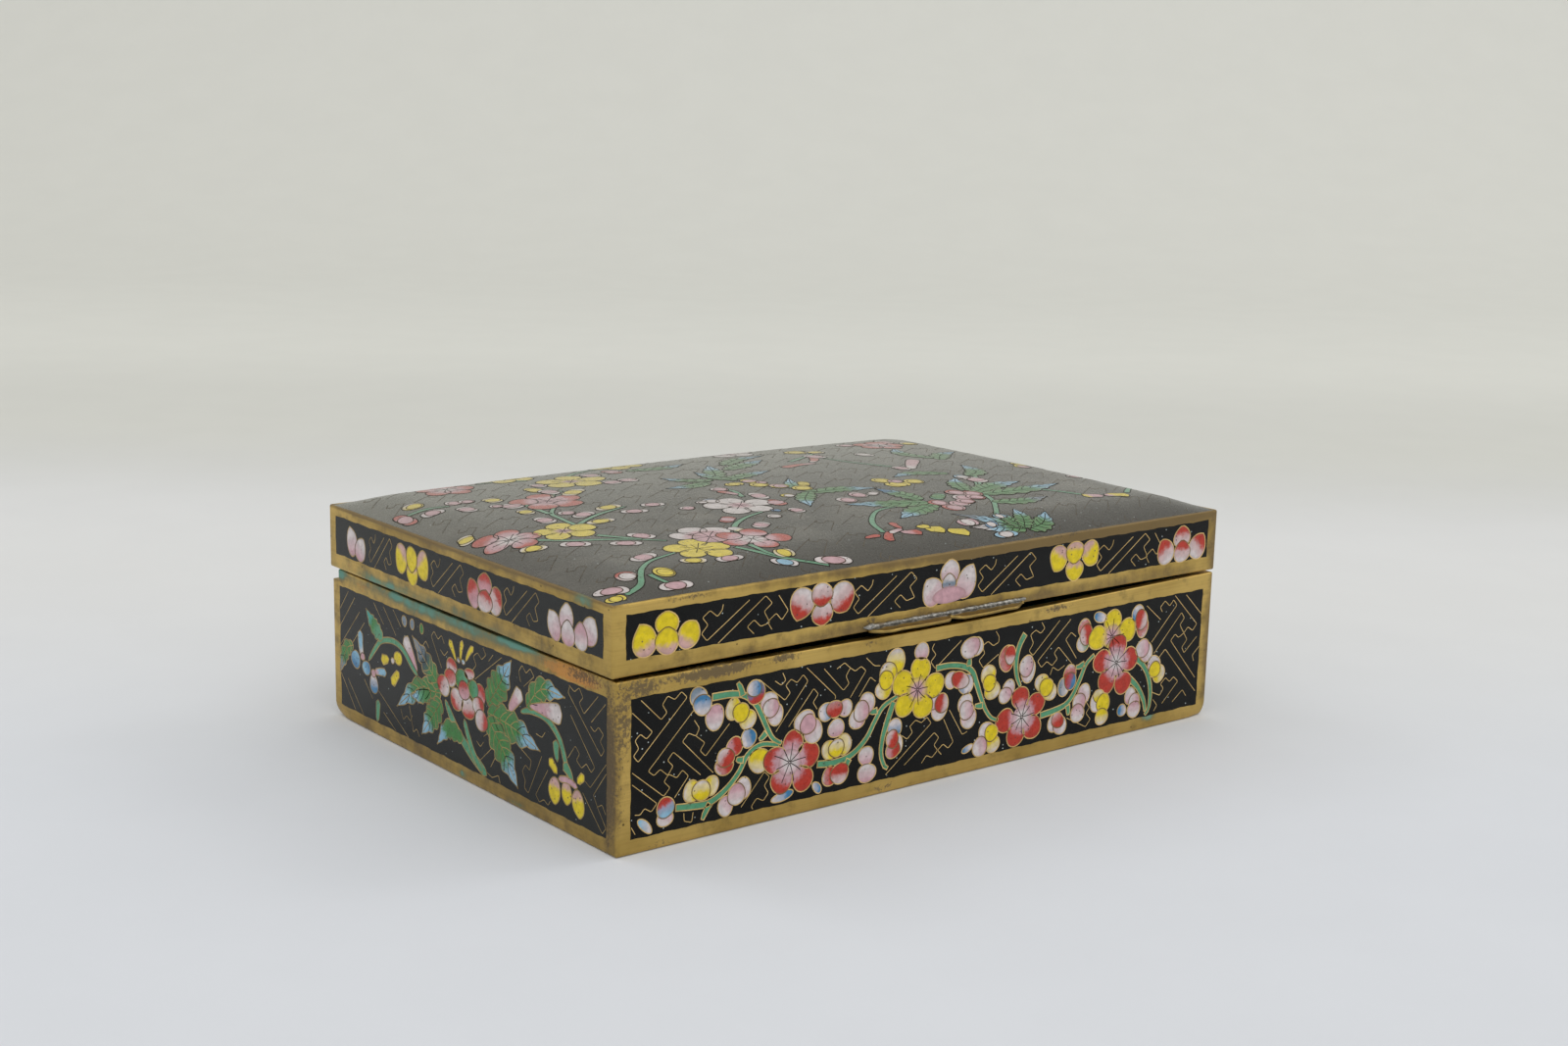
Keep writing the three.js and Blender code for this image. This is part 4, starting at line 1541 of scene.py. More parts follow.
def old_brass(name, tarnish=0.0, solder=False):
    """Hand-finished brass: brushed along its length, with stains where they are painted; the olive kind
    also paints shade on the left ends and along the lid's upper edges.
    """
    material, tree = new_material(name)
    place = coordinates(tree)
    cloud = noise(tree, place, 55, 4)
    blotch = noise(tree, place, 260, 4, 0.65)
    grit = noise(tree, place, 1700, 4, 0.65)
    streaks = noise(tree, coordinates(tree, (60, 60, 2600)), 1, 3)
    clean = graded(tree, cloud, 0.35, 0.68)
    bright = mixed(tree, clean, (0.60, 0.415, 0.125), (0.45, 0.305, 0.085))
    spotted = graded(tree, blotch, 0.35, 0.7)
    dull = mixed(tree, spotted, (0.30, 0.205, 0.065), (0.19, 0.135, 0.05))
    worn = graded(tree, plus(tree, blotch, tarnish), 0.5, 0.85)
    base = mixed(tree, times(tree, worn, 0.75), bright, dull)
    base = mixed(tree, graded(tree, streaks, 0.45, 0.75, 0, 0.2), base, (0.30, 0.195, 0.062))
    if solder:
        grains = graded(tree, noise(tree, place, 1500, 4, 0.7), 0.42, 0.7)
        lead = mixed(tree, grains, (0.17, 0.165, 0.15), (0.52, 0.51, 0.48))
        base = mixed(tree, patchy(tree, "solder", blotch, 0.3, 0.5, 0.8), base, lead)

    # The olive mask is partly real patina and partly painted shade, on the left ends and the lid's upper
    # edges
    olive = patchy(tree, "olive", blotch, 0.6, 0.55, 0.95)
    haze = patchy(tree, "verdigris", blotch, 0.6, 0.38, 1.0)
    green = patchy(tree, "verdigris", blotch, 0.9, 0.78, 1.2)
    rust = patchy(tree, "rust", grit, 0.9, 0.75, 1.0)
    pits = patchy(tree, "pits", grit, 1.2, 0.88, 1.10)
    specks = dots(tree, place, 420, 0.12, 0.12)
    for stain, strength, colour in [
        (olive, 0.9, (0.155, 0.101, 0.036)),
        (rust, 0.8, (0.50, 0.20, 0.032)),
        (haze, 0.75, (0.14, 0.19, 0.115)),
        (green, 0.8, (0.10, 0.30, 0.25)),
        (pits, 0.85, (0.085, 0.058, 0.027)),
        (specks, 0.8, (0.05, 0.035, 0.02)),
    ]:
        base = mixed(tree, times(tree, stain, strength), base, colour)

    crust = math_of(tree, "MAXIMUM", green, math_of(tree, "MAXIMUM", pits, rust))
    covered = math_of(tree, "MAXIMUM", crust, times(tree, olive, 0.5))
    brushed = graded(tree, streaks, 0.3, 0.7, 0.34, 0.46)
    relief = plus(tree, times(tree, streaks, 0.25), times(tree, crust, -0.8))
    shaded(tree, {
        "Base Color": base,
        "Metallic": graded(tree, covered, 0, 1, 1, 0.05),
        "Roughness": plus(tree, brushed, times(tree, crust, 0.3)),
        "Normal": bumped(tree, relief, 0.35, 0.00012),
    })
    return material


def lining_enamel(name):
    """The blue-green counter-enamel inside, thin and pinholed."""
    material, tree = new_material(name)
    place = coordinates(tree)
    cloud = graded(tree, noise(tree, place, 60, 5), 0.3, 0.7)
    base = mixed(tree, cloud, (0.035, 0.30, 0.33), (0.022, 0.21, 0.25))
    base = mixed(tree, dots(tree, place, 300, 0.09, 0.25), base, (0.02, 0.05, 0.06))
    base = mixed(tree, dots(tree, place, 190, 0.07, 0.2), base, (0.28, 0.45, 0.43))
    shaded(tree, {
        "Base Color": base,
        "Roughness": graded(tree, noise(tree, place, 500, 2), 0.3, 0.7, 0.2, 0.36),
        "Normal": bumped(tree, noise(tree, place, 180, 3), 0.25, 0.0003),
    })
    return material


# Brass bodies

# How many points a ring has along each long side, short side and corner
LONG_STEPS = 72
SHORT_STEPS = 50
CORNER_STEPS = 5


def rounded_ring(length, width, radius):
    """Points around a rectangle with round corners, anticlockwise seen from above."""
    half_x, half_y = length / 2, width / 2
    signs = [(1, -1), (1, 1), (-1, 1), (-1, -1)]
    points = []
    for side, (sign_x, sign_y) in enumerate(signs):
        start = 90 * (side - 1)
        centre = np.array([sign_x * (half_x - radius), sign_y * (half_y - radius)])
        for step in range(CORNER_STEPS + 1):
            angle = math.radians(start + 90 * step / CORNER_STEPS)
            points.append(centre + radius * np.array([math.cos(angle), math.sin(angle)]))
        next_x, next_y = signs[(side + 1) % 4]
        angle = math.radians(start + 90)
        end = np.array([next_x * (half_x - radius), next_y * (half_y - radius)])
        end = end + radius * np.array([math.cos(angle), math.sin(angle)])
        steps = SHORT_STEPS if side % 2 == 0 else LONG_STEPS
        begin = points[-1]
        points += [begin + (end - begin) * step / steps for step in range(1, steps)]
    return np.array(points)


def ring(length, width, inset, height, radius=CORNER, sink=WALL_SINK):
    """A ring of the outline, set in by an inset, at a height that is a function of the place."""
    narrower = 2 * (inset + sink)
    flat = rounded_ring(length - narrower, width - narrower, max(radius - inset, 0.2))
    return np.column_stack([flat, height(flat[:, 0], flat[:, 1])])


def loft(rings, capped=True):
    """Points and faces of a skin through rings, capped at its ends or joined to its first ring."""
    count = len(rings[0])
    points = np.concatenate(rings)
    faces = []
    for level in range(len(rings) - 1):
        for k in range(count):
            after = (k + 1) % count
            low = level * count
            faces.append([low + k, low + after, low + count + after, low + count + k])
    if capped:
        faces.append(list(reversed(range(count))))
        faces.append([len(points) - count + k for k in range(count)])
    else:
        last = (len(rings) - 1) * count
        faces += [[last + k, last + (k + 1) % count, (k + 1) % count, k] for k in range(count)]
    return points, faces


# Kinds of stain, each written at every point of a brass mesh. The olive kind is patina, and in places
# painted shade.
STAIN_KINDS = ("pits", "verdigris", "rust", "olive", "solder")


def solid(name, points, faces, body, material, stains=(), sharp=35, cuts=()):
    """A closed mesh with smooth shading up to an angle, painted stains and painted shade, and blocks cut
    away.
    """
    mesh = bpy.data.meshes.new(name)
    mesh.from_pydata((points / METRE).tolist(), [], faces)
    piece = finished(mesh, name, body, material)
    for low, high in cuts:
        cut_away(piece, low, high)
    piece.data.shade_smooth()
    piece.data.set_sharp_from_angle(angle=math.radians(sharp))
    for kind in STAIN_KINDS:
        paint_stains(piece.data, kind, [stain for stain in stains if stain[0] == kind])
    return piece


def cut_away(piece, low, high):
    """Takes a block away from a closed mesh."""
    mesh = bpy.data.meshes.new("cutter")
    form = bmesh.new()
    bmesh.ops.create_cube(form, size=1)
    middle = (np.array(low) + np.array(high)) / 2 / METRE
    size = (np.array(high) - np.array(low)) / METRE
    form.transform(Matrix.Translation(middle) @ Matrix.Diagonal((*size, 1)))
    form.to_mesh(mesh)
    form.free()
    cutter = bpy.data.objects.new("cutter", mesh)
    bpy.context.scene.collection.objects.link(cutter)
    modifier = piece.modifiers.new("cut", "BOOLEAN")
    modifier.object = cutter
    modifier.operation = "DIFFERENCE"
    modifier.solver = "EXACT"
    done = bpy.data.meshes.new_from_object(piece.evaluated_get(bpy.context.evaluated_depsgraph_get()))
    piece.modifiers.clear()
    piece.data = done
    bpy.data.objects.remove(cutter)


def paint_stains(mesh, kind, stains):
    """Writes how strong a kind of stain or painted shade is at every vertex."""
    places = np.zeros(len(mesh.vertices) * 3)
    mesh.vertices.foreach_get("co", places)
    places = places.reshape(-1, 3) * METRE
    strength = np.zeros(len(places))
    for _, middle, radii, power in stains:
        far = ((places - np.array(middle)) / np.array(radii)) ** 2
        strength = np.maximum(strength, power * np.exp(-far.sum(1)))
    layer = mesh.attributes.new(kind, "FLOAT", "POINT")
    layer.data.foreach_set("value", strength)


# Stains of the base's front and left end: kind, place as on the drawings, radii and strength
FRONT_STAINS = [
    # Darker along the base's front strip just under the lid
    ("olive", 75, 30.6, (70, 3, 0.5), 0.35),
    ("pits", 20, 29.8, (11, 4, 1.3), 0.72),
    ("pits", 5, 29.4, (6, 4, 2.0), 0.55),
    ("pits", 36, 30, (4, 4, 0.9), 0.62),
    ("pits", 56, 29.6, (3, 4, 0.8), 0.42),
    ("pits", 104, 29.6, (5, 4, 0.8), 0.55),
    ("pits", 1.4, 24, (2.0, 2, 9), 0.6),
    ("pits", 1, 8, (1.4, 2, 7), 0.4),
    ("pits", 60, 1.2, (4, 3, 1.0), 0.42),
    ("pits", 9, 1.2, (4, 3, 1.0), 0.3),
    ("olive", 2, 28, (3, 3, 5), 0.45),
    ("olive", 58, 1.4, (8, 3, 1.4), 0.35),
    ("verdigris", 133, 2.6, (2.2, 2, 0.9), 0.75),
    ("verdigris", 16, 28.2, (1.2, 2, 0.5), 0.7),
]
LEFT_STAINS = [
    ("olive", 48, 30, (3, 60, 2.2), 0.66),
    ("verdigris", 45, 30.2, (3, 40, 2.0), 0.62),
    ("rust", 13, 29.4, (3, 5, 1.6), 0.42),
    ("verdigris", 28, 30.2, (3, 8, 1.3), 0.75),
    ("verdigris", 71, 30.5, (3, 8, 0.9), 1.05),
    ("verdigris", 52, 1.2, (3, 1.3, 0.9), 0.85),
    ("verdigris", 3, 30.4, (3, 3, 1.2), 0.95),
    ("verdigris", 71, 0.9, (3, 3, 0.6), 0.5),
    ("olive", 20, 29.8, (3, 16, 1.7), 0.5),
    ("olive", 60, 30, (3, 14, 1.6), 0.5),
    ("olive", 50, 1, (3, 40, 1.1), 0.3),
    ("rust", 89, 29.4, (3, 11, 1.9), 0.78),
    ("pits", 93, 29.8, (3, 9, 1.8), 0.5),
    ("pits", 101, 15, (2, 2.2, 17), 0.68),
    ("olive", 101, 14, (2, 2.6, 20), 0.85),
]

# Stains and painted shade with their middle in space: kind, middle, radii and strength
BASE_STAINS_AND_SHADE = [
    # Painted shade: the whole left end of the base is darkened as if less lit
    ("olive", (-half_base, 0, 14), (2.0, 90, 60), 0.5),
    ("olive", (-half_base, half_depth - 1.5, 30.2), (2, 4, 1.8), 1.0),
    # Darker down the base's right front corner
    ("olive", (half_base, -half_depth, 16), (3, 3, 30), 0.6),
    ("olive", (0, half_depth, 29), (60, 4, 2), 0.5),
    ("verdigris", (-60, half_depth - 1.5, 29.4), (14, 3, 1.2), 0.7),
    ("verdigris", (40, half_depth - 1.5, 29.4), (9, 3, 1.2), 0.6),
    ("olive", (0, 0, 0), (60, 40, 0.8), 0.35),
    ("verdigris", (-30, 15, 0), (9, 6, 0.8), 0.5),
    ("pits", (35, -20, 0), (14, 9, 0.8), 0.4),
]
for kind, u, v, radii, strength in FRONT_STAINS:
    BASE_STAINS_AND_SHADE.append((kind, (u - half_base, -half_depth, v), radii, strength))
for kind, u, v, radii, strength in LEFT_STAINS:
    BASE_STAINS_AND_SHADE.append((kind, (-half_base, half_depth - u, v), radii, strength))

# Stains and painted shade of the lid, with their middle in space: kind, middle, radii and strength
LID_STAINS_AND_SHADE = [
    # Painted shade: the whole left end of the lid is darkened as if less lit
    ("olive", (-half_lid, 0, 38), (2.0, 90, 60), 0.42),
    # Painted shade: the rounded upper arris of the left end is darkened as the dark that it reflects
    ("olive", (-half_lid, 0, lid_edge_top), (3, 80, 0.9), 0.95),
    # Darker upper border of the lid's front: partly stain, partly painted shade of its rolled top edge
    ("olive", (20, -half_lid_depth, lid_edge_top - 0.2), (95, 3, 2.2), 0.72),
    ("olive", (35, -half_lid_depth, lid_edge_top - 0.6), (60, 3, 2.6), 0.95),
    # Darker down the lid's right front corner
    ("olive", (half_lid, -half_lid_depth, 38), (4, 3, 20), 0.6),
    ("olive", (10, -half_lid_depth, lid_bottom + 1), (120, 3, 2.6), 0.55),
    ("rust", (-half_lid, half_lid_depth - 9, lid_bottom + 1.4), (3, 5, 1.2), 0.4),
    # More of that stain and painted shade at the right end of the front upper border
    ("olive", (half_lid - 6, -half_lid_depth, lid_edge_top - 1), (16, 3, 1.6), 0.6),
    ("verdigris", (-half_lid, half_lid_depth - 24, lid_bottom + 0.7), (3, 13, 0.9), 0.62),
    ("verdigris", (-half_lid, half_lid_depth - 60, lid_bottom + 0.5), (3, 9, 0.7), 0.5),
    ("verdigris", (-half_lid, half_lid_depth - 93, lid_edge_top - 0.8), (3, 3.4, 1.4), 0.6),
    ("olive", (-half_lid, 0, lid_bottom + 1), (3, 60, 2.2), 0.5),
    ("verdigris", (-half_lid, half_lid_depth - 35, lid_bottom + 1), (3, 40, 1.6), 0.4),
    ("olive", (-half_lid, half_lid_depth - 95, lid_edge_top - 1), (3, 8, 1.5), 0.45),
    ("pits", (-half_lid + 57, -half_lid_depth, lid_bottom + 2.4), (3, 3, 0.9), 0.45),
    ("olive", (-half_lid + 60, -half_lid_depth, lid_bottom + 2.0), (9, 3, 1.1), 0.4),
    ("pits", (-half_lid + 16, -half_lid_depth, lid_edge_top - 0.6), (7, 3, 0.8), 0.4),
    ("pits", (-half_lid + 110, -half_lid_depth, lid_edge_top - 0.3), (9, 3, 0.6), 0.35),
    # The same stain and painted shade near the right end of the front upper border
    ("olive", (half_lid - 8, -half_lid_depth, lid_edge_top - 0.8), (9, 3, 1.4), 0.3),
    ("olive", (0, half_lid_depth, lid_bottom + 1), (60, 3, 2), 0.4),
]


def bend(x, y, length, width, wall):
    """From 0 at the ends of the front rim to 1 in its middle, and 0 on the other sides."""
    front = np.clip((-width / 2 + 1.6 * wall - y) / (0.4 * wall), 0, 1)
    return front * np.sin(np.pi * np.clip(x / length + 0.5, 0, 1))


def side_bend(x, y):
    """The same for the rim of the base's left end, which has sunk nearer to the front."""
    side = np.clip((-base_length / 2 + 1.6 * BASE_WALL - x) / (0.4 * BASE_WALL), 0, 1)
    run = np.clip(0.5 - y / base_width, 0, 1)
    return side * np.sin(np.pi * run**1.4)


# Lower corners of the base that are knocked in: their sides in x and y, and how far
KNOCKED_CORNERS = [(-1, 1, 1.0), (1, -1, 0.7), (1, 1, 0.7)]


def base_ring(inset, height, radius=CORNER):
    """A ring of the base. Rows near the rim follow its dip, and low ones the knocked corners."""

    def raised(x, y):
        share = np.clip((height - DIP_START) / (base_height - DIP_START), 0, 1)
        wave = 0.05 * np.sin(x / 17 + 0.4) + 0.04 * np.sin(y / 13)
        dip = RIM_DIP * bend(x, y, base_length, base_width, BASE_WALL) + SIDE_DIP * side_bend(x, y)
        return height - (dip + RIM_SINK + wave * 0.6) * share

    points = ring(base_length, base_width, inset, raised, radius)
    for corner_x, corner_y, depth in KNOCKED_CORNERS:
        corner = np.array([corner_x * half_base, corner_y * half_depth])
        gap = np.linalg.norm(points[:, :2] - corner, axis=1)
        low = np.clip(1 - points[:, 2] / KNOCK_HEIGHT, 0, 1) ** 2
        weight = depth * np.exp(-((gap / KNOCK_REACH) ** 2)) * low
        points[:, 0] -= corner_x * weight
        points[:, 1] -= corner_y * weight
    return points


def make_base(brass, lining):
    """The brass box and its lining, each drawn as insets and heights from outside to inside."""
    foot = [(0.62, 0.04), (0.42, 0.06), (0.24, 0.13), (0.11, 0.26), (0.03, 0.46), (0, 0.8)]
    rows = [1.4, 2.1, 2.8, 4.5, 8, 12, 16, 20, 24, 26.5, DIP_START]
    rows += [28.4, 29, 29.6, 30.2, 30.6, 30.85]
    rim = [(0.05, 31.0), (0.14, 31.1), (0.28, 31.15), (0.8, 31.17), (1.4, 31.17), (1.85, 31.13)]
    rim += [(2.05, 31.0)]
    inner = [(BASE_WALL, height) for height in (30.7, 28, 20, 10, 3.4)]
    inner += [(2.4, 2.6), (2.9, 2.1), (3.8, BASE_FLOOR)]
    rings = [base_ring(20, 0.04, 6), base_ring(8, 0.04, 3)]
    rings += [base_ring(inset, height) for inset, height in foot]
    rings += [base_ring(0, height) for height in rows]
    rings += [base_ring(inset, height) for inset, height in rim]
    rings += [base_ring(inset - WALL_SINK, height, 1.4) for inset, height in inner]
    rings += [base_ring(20, BASE_FLOOR, 6)]
    points, faces = loft(rings)

    # The rebate for the hinge is cut by a block that ends well outside the box
    rebate_inner = hinge_y - BED_THICKNESS
    cuts = [((-90, rebate_inner, knuckle_bottom), (90, 60, 40))]
    base = solid("base_brass", points, faces, "base", brass, BASE_STAINS_AND_SHADE, cuts=cuts)
    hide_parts("base_body")

    low = (-half_base + BED_INSET, rebate_inner - BED_THICKNESS, base_height - BED_HEIGHT)
    high = (half_base - BED_INSET, rebate_inner - 0.02, base_height - 0.1)
    points, faces = bar_between(low, high, 0.18)
    stains = [("olive", (side * half_base, half_depth, 30), (14, 9, 5), 1.0) for side in (-1, 1)]
    stains += [("verdigris", (-half_base, half_depth, 30), (6, 6, 3), 0.8)]
    solid("base_hinge_bed", points, faces, "base", brass, stains)

    upper = [(2.22, 29.9, 1.2), (2.22, 28, 1.2)]
    lower = [(2.22, 15, 1.2), (2.22, 3.6, 1.2), (2.45, 2.75, 1.4), (3.0, 2.25, 1.8)]
    outside = [base_ring(inset - WALL_SINK, height, radius) for inset, height, radius in upper + lower]
    outside += [base_ring(8, 2.05, 3), base_ring(30, 2.05, 5)]
    inside = [base_ring(30, 2.28, 5), base_ring(8, 2.28, 3)]
    for inset, height, radius in reversed(lower):
        lifted = height + (0.2 if height < 3 else 0)
        inside.append(base_ring(inset + 0.2, lifted, radius))
    inside += [base_ring(2.36, 28, 1.0), base_ring(2.32, 29.85, 1.0)]
    points, faces = shell_of(outside, inside)
    solid("base_lining", points, faces, "base", lining)


def shell_of(outside, inside):
    """A thin open cup: out along one skin to its middle and back along the other."""
    count = len(outside[0])
    points = np.concatenate([*outside, *inside])
    faces = []
    split = len(outside)
    total = split + len(inside)
    for level in range(total):
        if level == split - 1:
            continue
        low = level * count
        high = ((level + 1) % total) * count
        faces += [[low + k, high + k, high + (k + 1) % count, low + (k + 1) % count] for k in range(count)]
    first = (split - 1) * count
    faces.append([first + k for k in range(count)])
    faces.append([split * count + k for k in reversed(range(count))])
    return points, faces


def bar_between(low, high, edge, steps=60):
    """A long block along X with softened edges."""
    section = []
    corners = [(low[1], low[2]), (high[1], low[2]), (high[1], high[2]), (low[1], high[2])]
    signs = [(1, 1), (-1, 1), (-1, -1), (1, -1)]
    for (y, z), (sign_y, sign_z), start in zip(corners, signs, (180, 270, 0, 90)):
        for step in range(4):
            angle = math.radians(start + 30 * step)
            place_y = y + sign_y * edge + edge * math.cos(angle)
            place_z = z + sign_z * edge + edge * math.sin(angle)
            section.append((place_y, place_z))
    section = np.array(section)
    middle = section.mean(0)
    rings = []
    places = np.concatenate([[low[0]], np.linspace(low[0] + edge, high[0] - edge, steps), [high[0]]])
    for k, x in enumerate(places):
        scale = 0.9 if k in (0, len(places) - 1) else 1
        shape = middle + (section - middle) * scale
        rings.append(np.column_stack([np.full(len(shape), x), shape]))
    return loft(rings)


def lid_ring(inset, height, radius=CORNER):
    """A ring of the lid. Rows near its lower rim follow the rim's bow."""

    def raised(x, y):
        share = np.clip((lid_bottom + BOW_HEIGHT - height) / BOW_HEIGHT, 0, 1)
        wave = 0.03 * np.sin(x / 15) + 0.03 * np.sin(y / 12 + 1)
        bow = RIM_BOW * bend(x, y, lid_length, lid_width, LID_WALL)
        return height + (bow + 0.03 + wave) * share

    return ring(lid_length, lid_width, inset, raised, radius)


def dome_ring(inset, drop, radius=0.4):
    """A ring of the lid that lies a drop below its domed outer surface."""

    def raised(x, y):
        return lid_edge_top + dome(x, y) - drop

    return ring(lid_length, lid_width, inset, raised, radius, 0)


def make_lid(brass, lining):
    """The brass lid and its lining, from the middle of the roof out, down, and up outside."""
    low, top = lid_bottom, lid_edge_top
    inner = [(LID_WALL, top - 0.4), (LID_WALL, top - 4), (LID_WALL, top - 8)]
    inner += [(2.15, low + 0.6), (1.95, low + 0.2), (1.6, low + 0.05)]
    outer = [(0.35, low + 0.03), (0.14, low + 0.1), (0.03, low + 0.25), (0, low + 0.5)]
    rows = [low + rise for rise in (1, 1.6, 2.3, BOW_HEIGHT, 5, 7, 9)]
    rows += [top - drop for drop in (1.9, 1.3, 0.7, 0.4)]
    shoulder_rows = [(0.06, top - 0.2), (0.17, top - 0.08), (0.33, top - 0.03)]
    roof_steps = [3.4, 5, 7, 9, 12, 18, 26, 36, 46]
    rings = [dome_ring(inset, LID_ROOF) for inset in reversed(roof_steps)]
    rings += [lid_ring(inset - WALL_SINK, height, 0.6) for inset, height in inner]
    rings += [lid_ring(inset, height) for inset, height in outer]
    rings += [lid_ring(0, height) for height in rows]
    rings += [lid_ring(inset, height) for inset, height in shoulder_rows]
    rings += [dome_ring(EDGE_LINE, DOME_SINK + 0.02, 0.5)]
    rings += [dome_ring(inset, DOME_SINK + 0.25) for inset in [0.8, 2.2, *roof_steps]]
    points, faces = loft(rings)
    lid = solid("lid_brass", points, faces, "lid", brass, LID_STAINS_AND_SHADE)
    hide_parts("lid_body")

    heights = [low + 1.2, low + 4, top - 4, top - 0.6]
    outside = [lid_ring(LID_WALL - WALL_SINK, height, 0.6) for height in heights]
    outside += [dome_ring(inset, LID_ROOF - 0.04) for inset in roof_steps]
    inside = [dome_ring(inset, LID_ROOF + 0.2) for inset in reversed(roof_steps)]
    inside += [dome_ring(2.9, LID_ROOF + 0.5, 0.6)]
    inside += [lid_ring(LID_WALL + 0.14, height, 0.5) for height in reversed(heights)]
    points, faces = shell_of(outside, inside)
    faces = [list(reversed(face)) for face in faces]
    solid("lid_lining", points, faces, "lid", lining)


def ground_plate(panel, material):
    """The black glass of one field, with a slightly uneven edge."""
    (low_u, low_v), (high_u, high_v) = panel.field
    rng = random.Random(panel.name + "_edge")
    spacing = 1.6 if panel.crowned else 1.2
    across = max(2, round((high_u - low_u) / spacing))
    along = max(2, round((high_v - low_v) / spacing))
    phase = [rng.uniform(0, 6) for _ in range(8)]
    uneven = 0.035 if panel.crowned else 0.075

    def sway(run, k):
        return uneven * (np.sin(run * 0.9 + phase[k]) + 0.6 * np.sin(run * 2.1 + phase[k + 4]))

    grid = np.zeros((along + 1, across + 1, 2))
    share_u = np.linspace(0, 1, across + 1)
    share_v = np.linspace(0, 1, along + 1)
    us = low_u + (high_u - low_u) * share_u
    vs = low_v + (high_v - low_v) * share_v
    grid[:, :, 0] = us[None, :] + np.outer(sway(vs, 0), 1 - share_u) + np.outer(sway(vs, 1), share_u)
    grid[:, :, 1] = vs[:, None] + np.outer(1 - share_v, sway(us, 2)) + np.outer(share_v, sway(us, 3))
    flat = grid.reshape(-1, 2)
    count = len(flat)
    width = across + 1
    points = np.concatenate([panel.place(flat, 0), panel.place(flat, -GROUND_DEPTH)])
    normals = np.tile(panel.normals(flat), (2, 1))
    faces = []
    for row in range(along):
        for column in range(across):
            a = row * width + column
            faces.append([a, a + 1, a + 1 + width, a + width])
            faces.append([count + a + width, count + a + 1 + width, count + a + 1, count + a])
    rim = list(range(across)) + [row * width + across for row in range(along)]
    rim += [along * width + column for column in range(across, 0, -1)]
    rim += [row * width for row in range(along, 0, -1)]
    for here, there in zip(rim, rim[1:] + rim[:1]):
        faces.append([here, here + count, there + count, there])
    skin = Skin()
    skin.add(points, normals, faces)
    return skin.piece(panel.name + "_ground", panel.body, "enamel", material)


# Hinge and thumb-lift


def round_ring(x, radius, count=28):
    """A ring about the axis of the hinge."""
    angle = np.linspace(0, 2 * math.pi, count, endpoint=False)
    y = hinge_y + radius * np.cos(angle)
    z = hinge_z + radius * np.sin(angle)
    return np.column_stack([np.full(count, x), y, z])


def make_knuckle(node, body, material):
    """One tube of the hinge, and the strip that it stands on."""
    low, high = box_mm(node)
    radius = hinge_z - knuckle_bottom - 0.2
    bore = pin_radius + 0.04
    start, end = low[0], high[0]
    lip = [(0.02, bore), (0, radius - 0.25), (0.1, radius - 0.08), (0.3, radius - 0.01)]
    places = np.linspace(start + 1, end - 1, 14)
    profile = [(start + run, reach) for run, reach in lip]
    profile += [(x, radius - 0.02 + 0.012 * math.sin(x * 1.7)) for x in places]
    profile += [(end - run, reach) for run, reach in reversed(lip)]
    points, faces = loft([round_ring(x, reach) for x, reach in profile], capped=False)
    stains = [
        ("verdigris", (start, hinge_y, hinge_z), (5, 3, 3), 0.8),
        ("pits", (start, hinge_y, hinge_z), (2, 3, 3), 0.9),
        ("olive", (start + (end - start) * 0.7, hinge_y, hinge_z), (12, 3, 3), 0.6),
    ]
    tube = solid(node + "_tube", points, faces, body, material, stains, 40)
    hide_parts(node)
    on_base = body == "base"
    foot_low = low[2] if on_base else hinge_z + 0.5
    foot_high = hinge_z - 0.5 if on_base else high[2]
    half = 0.75
    near = (start + 0.15, hinge_y - half, foot_low)
    far = (end - 0.15, hinge_y + half, foot_high)
    points, faces = bar_between(near, far, 0.12, 12)
    solid(node + "_foot", points, faces, body, material)


def make_pin(material):
    """The pin through the tubes, with rounded ends."""
    radius = pin_radius - 0.01
    start, end = pin_low[0] + 0.02, pin_high[0] - 0.02
    tip = [(0, 0.5), (0.12, 0.85), (0.3, 1)]
    profile = [(start + run, radius * share) for run, share in tip]
    profile += [(x, radius) for x in np.linspace(start + 2, end - 2, 20)]
    profile += [(end - run, radius * share) for run, share in reversed(tip)]
    points, faces = loft([round_ring(x, reach, 18) for x, reach in profile])
    pin = solid("pin", points, faces, "base", material)
    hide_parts("hinge_pin")


def lift_reach(x):
    """How far the bracket stands out at a place along it."""
    half = lift_high[0]
    full = lid_low[1] - lift_low[1]
    away = half - abs(x)
    rounded_end = math.sqrt(max(0, 1 - (1 - min(away / LIFT_END_CURVE, 1)) ** 2))
    notch = LIFT_NOTCH_DEPTH * math.exp(-((abs(x) / LIFT_NOTCH_WIDTH) ** 1.4))
    shoulders = 1 - 0.13 * math.exp(-(((abs(x) - half + 7) / 2.4) ** 2))
    return full * rounded_end * (1 - notch) * shoulders


